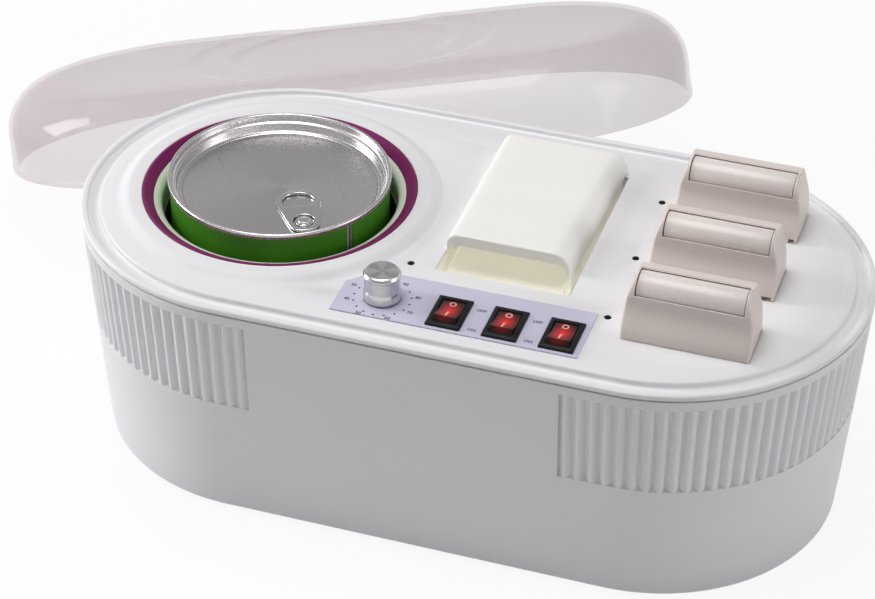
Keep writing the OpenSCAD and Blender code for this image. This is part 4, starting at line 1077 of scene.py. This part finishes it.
# ---- Pilot lights ----
# Four tiny lamps pushed up through the deck, dark when off: one for the pot and one for each cartridge.
dark_lens = finish_of("dark_lens", paint(10, 10, 13), 0.4, drift=0.1, grain_size=0.3, relief=0.002,
                      specular=0.15)
lens = turned([(0, 107.9), (1.5, 107.9), (1.5, 110.9), (1.8, 110.9), (1.8, 111.9), (1.5, 111.9),
               (1.5, 114.35),
               (1.3, 114.58), (0.8, 114.68), (0, 114.7)], 24)
set_of("pilot_lamps", lens, [(x, y, 0) for x, y in led_places], "housing", dark_lens,
       ["pilot_lights"])

# ---- Cartridge wells ----
# Drawn aluminium sleeves screwed up under the deck, each with a heater plate clamped on its back.
drawn_aluminium = finish_of("drawn_aluminium", paint(192, 193, 196), 0.35, drift=0.1, grain_size=0.3,
                            relief=0.01,
                            stretch=(1, 1, 0.15), metallic=1.0)
heater_plate = finish_of("heater_plate", paint(176, 160, 130), 0.5, drift=0.1, grain_size=0.4, relief=0.02,
                         metallic=0.6)
for i in (1, 2, 3):
    coat_node(f"well_sleeve_{i}", drawn_aluminium)
    coat_node(f"well_heater_{i}", heater_plate)
sleeve_places = [(cart_x + side * 29.9, y, 109.0) for y in cart_ys for side in (-1, 1)]
set_of("sleeve_screw_set", pan_screw(2.2, 1.6, 1.1, 4.4, 0.8), sleeve_places, "housing",
       plain_steel,
       ["sleeve_screws"])

# ---- Roll-on cartridges ----
# Blow-moulded cream bodies filled with wax, closed by a pinkish-white head whose cheeks carry a plain roller
# on two moulded pins. The heads are sculpted: a neck under the roller's lip and a broad lip behind.
cartridge_cream = finish_of("cartridge_cream", paint(240, 226, 200), 0.4, drift=0.04, grain_size=0.5,
                            relief=0.01)
head_pink = finish_of("head_pink", paint(231, 219, 214), 0.34, drift=0.035, grain_size=1.2, relief=0.012,
                      stretch=(0.35, 1, 1))
roller_pink = finish_of("roller_pink", paint(236, 226, 222), 0.28, drift=0.03, grain_size=1.0, relief=0.008,
                        stretch=(0.3, 1, 1))
roller_r, bed_w = 6.8, 45.9
head_w, head_d = 54.4, 25.6
roller_y, roller_up, bed_r, cheek_r = -0.9, 19.8, 7.2, 7.4
bed_lip, bed_front = math.radians(55), math.radians(183)
notch_w, notch_d, notch_h = (0, 4.8, 2.4), 3, 2.1
pin_r, pin_l, end_gap = 1.5, 1.6, 0.4
front_line = [(-12.8, 0.3), (-12.8, 2.6), (-12.2, 5), (-10.9, 7.6), (-9.5, 10), (-8.4, 12.6), (-8.0, 15),
              (-8.3, 17.2),
              (-8.6, 19.0)]
back_line = [(12.8, 0.3), (12.8, 2.6), (11.6, 8), (10.2, 15.6), (9.2, 21), (8.9, 24.4), (8.4, 25.5),
             (7.4, 25.95),
             (5.4, 26.05), (2.6, 26.4)]
half_width = [(27.2, 0), (27.2, 9.4), (26.7, 15.6), (25.7, 20), (24.9, 23.6), (23.8, 27.6)]


def softened(points, rounds=2):
    """Cuts the corners of an open line and keeps its ends."""
    for _ in range(rounds):
        cut = [points[0]]
        for p, q in zip(points, points[1:]):
            cut += [(p[0] * 0.75 + q[0] * 0.25, p[1] * 0.75 + q[1] * 0.25),
                    (p[0] * 0.25 + q[0] * 0.75, p[1] * 0.25 + q[1] * 0.75)]
        points = cut + [points[-1]]
    return points


def at_height(line, z):
    """The first value of a line of (value, height) at one height."""
    for (a, za), (b, zb) in zip(line, line[1:]):
        if za <= z <= zb and zb > za:
            return a + (b - a) * (z - za) / (zb - za)
    return line[0][0] if z < line[0][1] else line[-1][0]


def about_roller(r, angle):
    """A point in (y, z) at a distance and an angle in radians from the roller's axis."""
    return roller_y + r * math.cos(angle), roller_up + r * math.sin(angle)


def cheek_arc(start, end):
    return [about_roller(cheek_r, math.radians(a)) for a in range(start, end, -6 if end < start else 6)]


head_front = softened(front_line) + cheek_arc(180, 96)[1:] + [(roller_y - 0.2, roller_up + cheek_r)]
head_back = softened(back_line) + cheek_arc(66, 91)[1:] + [(roller_y + 0.2, roller_up + cheek_r)]
head_edge = softened(half_width, 2)


def head_block(edge=1.1, steps=4):
    """The head's outer form: levels of height, each with its depth and its width, and rounded side edges."""
    levels = sorted({round(z, 3) for _, z in head_front + head_back})
    shape = bmesh.new()
    stations = [(-1, 90 - 90 * k / steps) for k in range(steps + 1)] + [(0, 0)] + \
               [(1, 90 * k / steps) for k in range(steps + 1)]
    grid = []
    for side, angle in stations:
        sink = edge * (1 - math.cos(math.radians(angle)))
        front, back_side = [], []
        for z in levels:
            low = z if z < levels[-1] - sink else levels[-1] - sink
            x = side * (at_height(head_edge, z) - edge * (1 - math.sin(math.radians(angle))))
            y0, y1 = at_height(head_front, low) + sink, at_height(head_back, low) - sink
            if y0 > y1:
                y0 = y1 = (y0 + y1) / 2
            front.append(shape.verts.new((x, y0, low)))
            back_side.append(shape.verts.new((x, y1, low)))
        grid.append((front, back_side))
    for (f0, b0), (f1, b1) in zip(grid, grid[1:]):
        for k in range(len(levels) - 1):
            shape.faces.new((f0[k], f0[k + 1], f1[k + 1], f1[k]))
            shape.faces.new((b0[k], b1[k], b1[k + 1], b0[k + 1]))
        shape.faces.new((f0[0], f1[0], b1[0], b0[0]))
        shape.faces.new((f0[-1], b0[-1], b1[-1], f1[-1]))
    for front, back_side in (grid[0], grid[-1]):
        for k in range(len(levels) - 1):
            shape.faces.new((front[k], back_side[k], back_side[k + 1], front[k + 1]))
    bmesh.ops.remove_doubles(shape, verts=shape.verts, dist=2e-3)
    bmesh.ops.dissolve_degenerate(shape, dist=1e-4, edges=shape.edges)
    bmesh.ops.recalc_face_normals(shape, faces=shape.faces)
    return shape


def along_x(outline, half_length):
    """A prism with its outline in (y, z), drawn along X."""
    shape = bmesh.new()
    near = [shape.verts.new((-half_length, y, z)) for y, z in outline]
    far = [shape.verts.new((half_length, y, z)) for y, z in outline]
    shape.faces.new(near)
    shape.faces.new(far[::-1])
    for k in range(len(outline)):
        m = (k + 1) % len(outline)
        shape.faces.new((near[m], near[k], far[k], far[m]))
    bmesh.ops.recalc_face_normals(shape, faces=shape.faces)
    return shape


reach_out = bed_r + 5
bed_sweep = bed_lip + 2 * math.pi - bed_front
bed = [about_roller(bed_r, bed_front + bed_sweep * k / 40) for k in range(41)]
bed += [about_roller(reach_out, bed_lip),
        (roller_y - reach_out, roller_up + reach_out * math.sin(bed_lip)),
        (roller_y - reach_out, roller_up - reach_out * math.tan(bed_front - math.pi))]
for i, y in enumerate(cart_ys, 1):
    coat_node(f"cartridge_body_{i}", cartridge_cream)
    cutters = along_x(bed, bed_w / 2)
    if notch_w[i - 1]:
        right = head_w / 2 - 1.2
        left, notch_back = right - notch_w[i - 1], notch_d - head_d / 2
        prism([(left, -14), (right, -14), (right, notch_back), (left, notch_back)], -0.2, notch_h, cutters)
    head = carve(head_block(), cutters)
    pin_hole = along_x(ring_of(roller_y, roller_up, pin_r + 0.05, 20), bed_w / 2 + 1.55)
    head = carve(head, pin_hole)
    bmesh.ops.translate(head, verts=head.verts, vec=(cart_x, y, deck_z))
    piece(f"roller_head_{i}", head, f"cartridge_{i}", head_pink, [f"cartridge_head_{i}"],
          degrees=35)
    reach = bed_w / 2 - end_gap
    half_barrel = [(roller_r, reach - 0.5), (roller_r - 0.12, reach - 0.12), (roller_r - 0.5, reach),
                   (pin_r, reach),
                   (pin_r, reach + pin_l), (0, reach + pin_l)]
    barrel = turned([(r, -along) for r, along in reversed(half_barrel)] + half_barrel, 72)
    bmesh.ops.rotate(barrel, cent=(0, 0, 0), matrix=Matrix.Rotation(math.radians(90), 3, "Y"),
                     verts=barrel.verts)
    bmesh.ops.translate(barrel, verts=barrel.verts, vec=(cart_x, y + roller_y, roller_up + deck_z))
    piece(f"roller_barrel_{i}", barrel, f"roller_{i}", roller_pink, [f"roller_{i}"])

# ---- Strip compartment ----
# A drop-in tray screwed under the deck and a stack of pressed fabric strips. The thin white hood lets light
# through to them in the real product, and a faint glow of the cloth and the tray stands for it.
tray_plastic = finish_of("tray_plastic", paint(244, 243, 232), 0.45, drift=0.03, grain_size=0.5, relief=0.01)
strip_cloth = finish_of("strip_cloth", paint(250, 248, 234), 0.85, drift=0.06, grain_size=0.25, relief=0.04,
                        stretch=(0.25, 1, 1))
eased("tray_moulding", "strip_tray", "housing", tray_plastic, 0.4, 2, 50)
tray_screw_places = [(tray_x0 + fx * tray_w + (2 * fx - 1) * 4.2, tray_y0 + 12 + fy * (tray_l - 24), 108.6)
                     for fx in (0, 1) for fy in (0, 1)]
set_of("tray_screw_set", pan_screw(2.2, 1.6, 1.1, 4.8, 0.8), tray_screw_places, "housing",
       plain_steel, ["tray_screws"])
low, high = (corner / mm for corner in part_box("strip_stack"))
sheet_count = 26
sheet_t = (high.z - low.z) / sheet_count


def stack_tree():
    """Piles thin sheets on each other, each a little off the one below."""
    tree = link_group(None, "GeometryNodeTree", "strip_pile", [
        ("Geometry", "NodeSocketGeometry", None), ("Count", "NodeSocketInt", sheet_count),
        ("Pitch", "NodeSocketFloat", sheet_t), ("Shift", "NodeSocketFloat", 0.35),
                                                               ("Seed", "NodeSocketInt", 5),
        ("Finish", "NodeSocketMaterial", None)], [("Geometry", "NodeSocketGeometry")])
    tree.is_modifier = True
    enter = tree.nodes.new("NodeGroupInput")
    leave = tree.nodes.new("NodeGroupOutput")
    rise = tree.nodes.new("ShaderNodeCombineXYZ")
    tree.links.new(enter.outputs["Pitch"], rise.inputs["Z"])
    line = tree.nodes.new("GeometryNodeMeshLine")
    tree.links.new(enter.outputs["Count"], line.inputs["Count"])
    tree.links.new(rise.outputs[0], line.inputs["Offset"])
    copies = tree.nodes.new("GeometryNodeInstanceOnPoints")
    tree.links.new(line.outputs[0], copies.inputs["Points"])
    tree.links.new(enter.outputs["Geometry"], copies.inputs["Instance"])
    chance = tree.nodes.new("FunctionNodeRandomValue")
    chance.data_type = "FLOAT_VECTOR"
    chance.inputs[0].default_value = (-1, -1, 0)
    chance.inputs[1].default_value = (1, 1, 0)
    tree.links.new(enter.outputs["Seed"], chance.inputs["Seed"])
    shift = tree.nodes.new("ShaderNodeVectorMath")
    shift.operation = "SCALE"
    tree.links.new(chance.outputs[0], shift.inputs[0])
    tree.links.new(enter.outputs["Shift"], shift.inputs["Scale"])
    nudge = tree.nodes.new("GeometryNodeTranslateInstances")
    tree.links.new(copies.outputs[0], nudge.inputs["Instances"])
    tree.links.new(shift.outputs[0], nudge.inputs["Translation"])
    real = tree.nodes.new("GeometryNodeRealizeInstances")
    tree.links.new(nudge.outputs[0], real.inputs[0])
    dress = tree.nodes.new("GeometryNodeSetMaterial")
    tree.links.new(real.outputs[0], dress.inputs["Geometry"])
    tree.links.new(enter.outputs["Finish"], dress.inputs["Material"])
    tree.links.new(dress.outputs[0], leave.inputs[0])
    return tree


one_sheet = chamfered(prism(round_rect((low.x + high.x) / 2, (low.y + high.y) / 2, high.x - low.x - 0.8,
                                       high.y - low.y - 0.8, 1.0, 2), low.z, low.z + sheet_t * 0.94), 0.12,
                      1, 60)
pile = run_tree(loose_object("pile", one_sheet), stack_tree(), finish=strip_cloth)
stack = bmesh.new()
stack.from_mesh(pile.data)
bpy.data.objects.remove(pile)
piece("strip_pile", stack, "strips", strip_cloth, ["strip_stack"])
for lit, glow in ((strip_cloth, 0.25), (tray_plastic, 0.1)):
    lit_shader = lit.node_tree.nodes["Principled BSDF"]
    lit_shader.inputs["Emission Color"].default_value = paint(246, 241, 228)
    lit_shader.inputs["Emission Strength"].default_value = glow

# ---- Strip hood ----
# A loose white moulding over the rear of the strips: flat-topped, rounded on its long edges, open in front
# under a deep lip, with a slightly wavy top. It stands in the tray and lifts off.
hood_white = finish_of("hood_white", paint(251, 250, 247), 0.4, drift=0.02, grain_size=1.5, relief=0.015)
hood_t, hood_front_lip = 2.2, 5.4
hood_y0, hood_y1 = tray_y0 + 14.0, tray_y0 + tray_l + 3.5
hood_x0, hood_x1 = tray_x0 + 0.4, tray_x0 + tray_w - 4.0
hood_top, hood_foot = deck_z + 9.6, deck_z + 0.3 - 10.7
hood_edge = 0.9
wave_h, wave_count = 0.28, 3.5


def hood_section(y, sink, inside, lip):
    """One chain of (x, z) across the hood, from the left foot over the top to the right foot."""
    t = (y - hood_y0) / (hood_y1 - hood_y0)
    x0, x1 = hood_x0 + sink, hood_x1 + 2.3 * t ** 1.6 - sink
    # a soft rise and fall runs across the top, and the moulding is nowhere above its flat height
    wave = wave_h * (1 - math.cos(2 * math.pi * wave_count * t)) * min(1, 6 * t, 5 - 5 * t)
    top = hood_top - sink - (0 if inside else wave)
    left_r, right_r = 5.2, 8.6 - 1.6 * t
    if inside:
        x0, x1, top = x0 + hood_t, x1 - hood_t, top - (hood_front_lip if lip else hood_t)
        left_r, right_r = (1.2 if lip else left_r - hood_t), (2.6 if lip else right_r - hood_t)
    foot = deck_z + 0.3 if y > tray_y0 + tray_l - 1.5 else hood_foot
    chain = [(x0, deck_z + 0.3)]
    chain += [(x0 + left_r * (1 - math.cos(a)), top - left_r * (1 - math.sin(a)))
              for a in (math.radians(90 * k / 6) for k in range(7))]
    chain += [(x0 + left_r + (x1 - right_r - x0 - left_r) * k / 6, top) for k in range(1, 6)]
    chain += [(x1 - right_r * (1 - math.sin(a)), top - right_r * (1 - math.cos(a)))
              for a in (math.radians(90 * k / 10) for k in range(11))]
    return chain + [(x1, foot)]


hood = bmesh.new()
rounding = [math.radians(90 * k / 4) for k in range(5)]
outer_rows = [(hood_y0 + hood_edge * (1 - math.sin(a)), hood_edge * (1 - math.cos(a)))
              for a in reversed(rounding)]
outer_rows += [(hood_y0 + (tray_l - 15.5) * k / 40, 0.0) for k in range(1, 41)]
outer_rows += [(tray_y0 + tray_l - 1.45, 0.0), (hood_y1 - hood_t, 0.0)]
outer_rows += [(hood_y1 - hood_edge * (1 - math.sin(a)), hood_edge * (1 - math.cos(a))) for a in rounding]
inner_rows = [(hood_y0, True), (hood_y0 + hood_t, True), (hood_y0 + hood_t + 0.05, False)]
inner_rows += [(y, False) for y, _ in outer_rows if hood_y0 + 3 < y <= hood_y1 - hood_t + 1e-6]
outside = [[hood.verts.new((x, y, z)) for x, z in hood_section(y, sink, False, False)] for y,
           sink in outer_rows]
inside = [[hood.verts.new((x, y, z)) for x, z in hood_section(y, 0.0, True, lip)] for y, lip in inner_rows]
for rows, turn in ((outside, 1), (inside, -1)):
    for near, far in zip(rows, rows[1:]):
        for k in range(len(near) - 1):
            hood.faces.new((near[k], near[k + 1], far[k + 1], far[k])[::turn])
for k in range(len(outside[0]) - 1):
    hood.faces.new((outside[0][k], inside[0][k], inside[0][k + 1], outside[0][k + 1]))
for end in (0, -1):
    # the foot rims run from front to back, under the back wall too
    o = [row[end] for row, (y, _) in zip(outside, outer_rows) if y <= hood_y1 - hood_t + 1e-6]
    hood.faces.new(o + [row[end] for row in reversed(inside)])
hood.faces.new([inside[-1][0]] + inside[-1][1:])
under = [row for row, (y, _) in zip(outside, outer_rows) if y >= hood_y1 - hood_t - 1e-6]
under_rim = [row[0] for row in under] + [row[-1] for row in reversed(under)]
hood.faces.new(under_rim + [inside[-1][-1], inside[-1][0]])
hood.faces.new(outside[-1])
bmesh.ops.recalc_face_normals(hood, faces=hood.faces)
piece("hood_shell", hood, "hood", hood_white, ["strip_hood"], degrees=38)

# ---- Mains parts ----
# A flanged appliance inlet with three blade pins in the rear wall, and a screw terminal block on the floor.
inlet_black = finish_of("inlet_black", paint(36, 36, 38), 0.5, drift=0.1, grain_size=0.3, relief=0.02)
nickel = finish_of("nickel_pins", paint(206, 200, 186), 0.25, drift=0.05, grain_size=0.2, relief=0.002,
                   metallic=1.0)
block_resin = finish_of("block_resin", paint(228, 226, 210), 0.5, drift=0.05, grain_size=0.4, relief=0.02)
eased("inlet_body", "power_inlet", "housing", inlet_black, 0.3, 2, 50)
coat_node("inlet_pins", nickel)
coat_node("terminal_block", block_resin)

# ---- Lid ----
# A vacuum-formed clear cover with a faint mauve tint: straight skirt with a bead, a wide rounded shoulder and
# a flat top with two round moulded rings. It is off the base and leans behind it.
lid_h, lid_t, lid_r, lid_out_r = 42.0, 2.0, 25.0, 86.48
lid_yaw, lid_tilt, lid_lean = 18.4, 7.3, 19.8
lid_at = (-116.0, 168.8, 41.010)
flat_edge = lid_out_r - lid_r - 0.5
ring_rise = ((55.0, 1.6, 1.1), (76.0, 1.8, 0.7))


def dish(x, y):
    """How far the flat top is sunk inside the round rings."""
    d = math.hypot(x, y)
    sunk = 0.0
    for r, width, depth in ring_rise:
        t = min(1.0, max(0.0, (r + width - d) / (2 * width)))
        sunk += depth * t * t * (3 - 2 * t)
    return sunk


def dome(offset):
    """Rows of (distance from the spine, height) from the skirt's foot to the spine; offset goes inwards."""
    rows = []
    if offset == 0:
        rows += [(lid_out_r - 0.4, 0), (lid_out_r, 0.4), (lid_out_r, 2.6), (lid_out_r - 0.3, 3.0)]
    else:
        rows += [(lid_out_r - 3.2, 0), (lid_out_r - 3.2, 2.8), (lid_out_r - 2.7, 3.6)]
    for i in range(13):
        a = math.radians(90 * i / 12)
        rows.append((flat_edge + (lid_r - offset) * math.cos(a),
                     lid_h - lid_r + (lid_r - offset) * math.sin(a)))
    count = 38
    rows += [(flat_edge * (1 - k / count), lid_h - offset) for k in range(1, count + 1)]
    return rows


lid_stations = outline_stations(spacing=2.2, arc_steps=60)
cover_shape = bmesh.new()
grids = []
for offset in (0, lid_t):
    rows = dome(offset)
    grid = []
    for x, nx, ny in lid_stations:
        column = []
        for r, z in rows:
            px, py = x + r * nx, r * ny
            sunk = dish(px, py) * min(1.0, max(0.0, (z - lid_h + offset + 9) / 8))
            column.append(cover_shape.verts.new((px, py, z - sunk)))
        grid.append(column)
    for i in range(len(grid)):
        near, far = grid[i], grid[(i + 1) % len(grid)]
        for k in range(len(rows) - 1):
            corners = [near[k], far[k], far[k + 1], near[k + 1]]
            corners = corners if offset == 0 else corners[::-1]
            cover_shape.faces.new(corners)
    grids.append(grid)
for i in range(len(lid_stations)):
    j = (i + 1) % len(lid_stations)
    cover_shape.faces.new((grids[0][j][0], grids[0][i][0], grids[1][i][0], grids[1][j][0]))
bmesh.ops.remove_doubles(cover_shape, verts=cover_shape.verts, dist=2e-3)
placed = (Matrix.Translation(lid_at) @ Matrix.Rotation(math.radians(lid_yaw), 4, "Z")
          @ Matrix.Rotation(math.radians(-lid_tilt), 4, "Y") @ Matrix.Rotation(math.radians(-lid_lean), 4,
                                                                               "X"))
bmesh.ops.transform(cover_shape, matrix=placed, verts=cover_shape.verts)


def clear_mauve():
    """Clear sheet seen as a thin tint, denser and shinier where it is seen edge on."""
    made = finish_of("clear_mauve", paint(196, 178, 182), 0.08, drift=0.03, grain_size=2.0, relief=0.004)
    tree = made.node_tree
    shader = tree.nodes["Principled BSDF"]
    edge_on = tree.nodes.new("ShaderNodeLayerWeight")
    edge_on.inputs["Blend"].default_value = 0.25
    spread = tree.nodes.new("ShaderNodeMapRange")
    tree.links.new(edge_on.outputs["Facing"], spread.inputs["Value"])
    spread.inputs["To Min"].default_value = 0.22
    spread.inputs["To Max"].default_value = 0.46
    tree.links.new(spread.outputs["Result"], shader.inputs["Alpha"])
    return made


piece("clear_lid", cover_shape, "lid", clear_mauve(), ["lid"], degrees=35)

# ---- Last update ----
# The view layer is brought up to date.
bpy.context.view_layer.update()
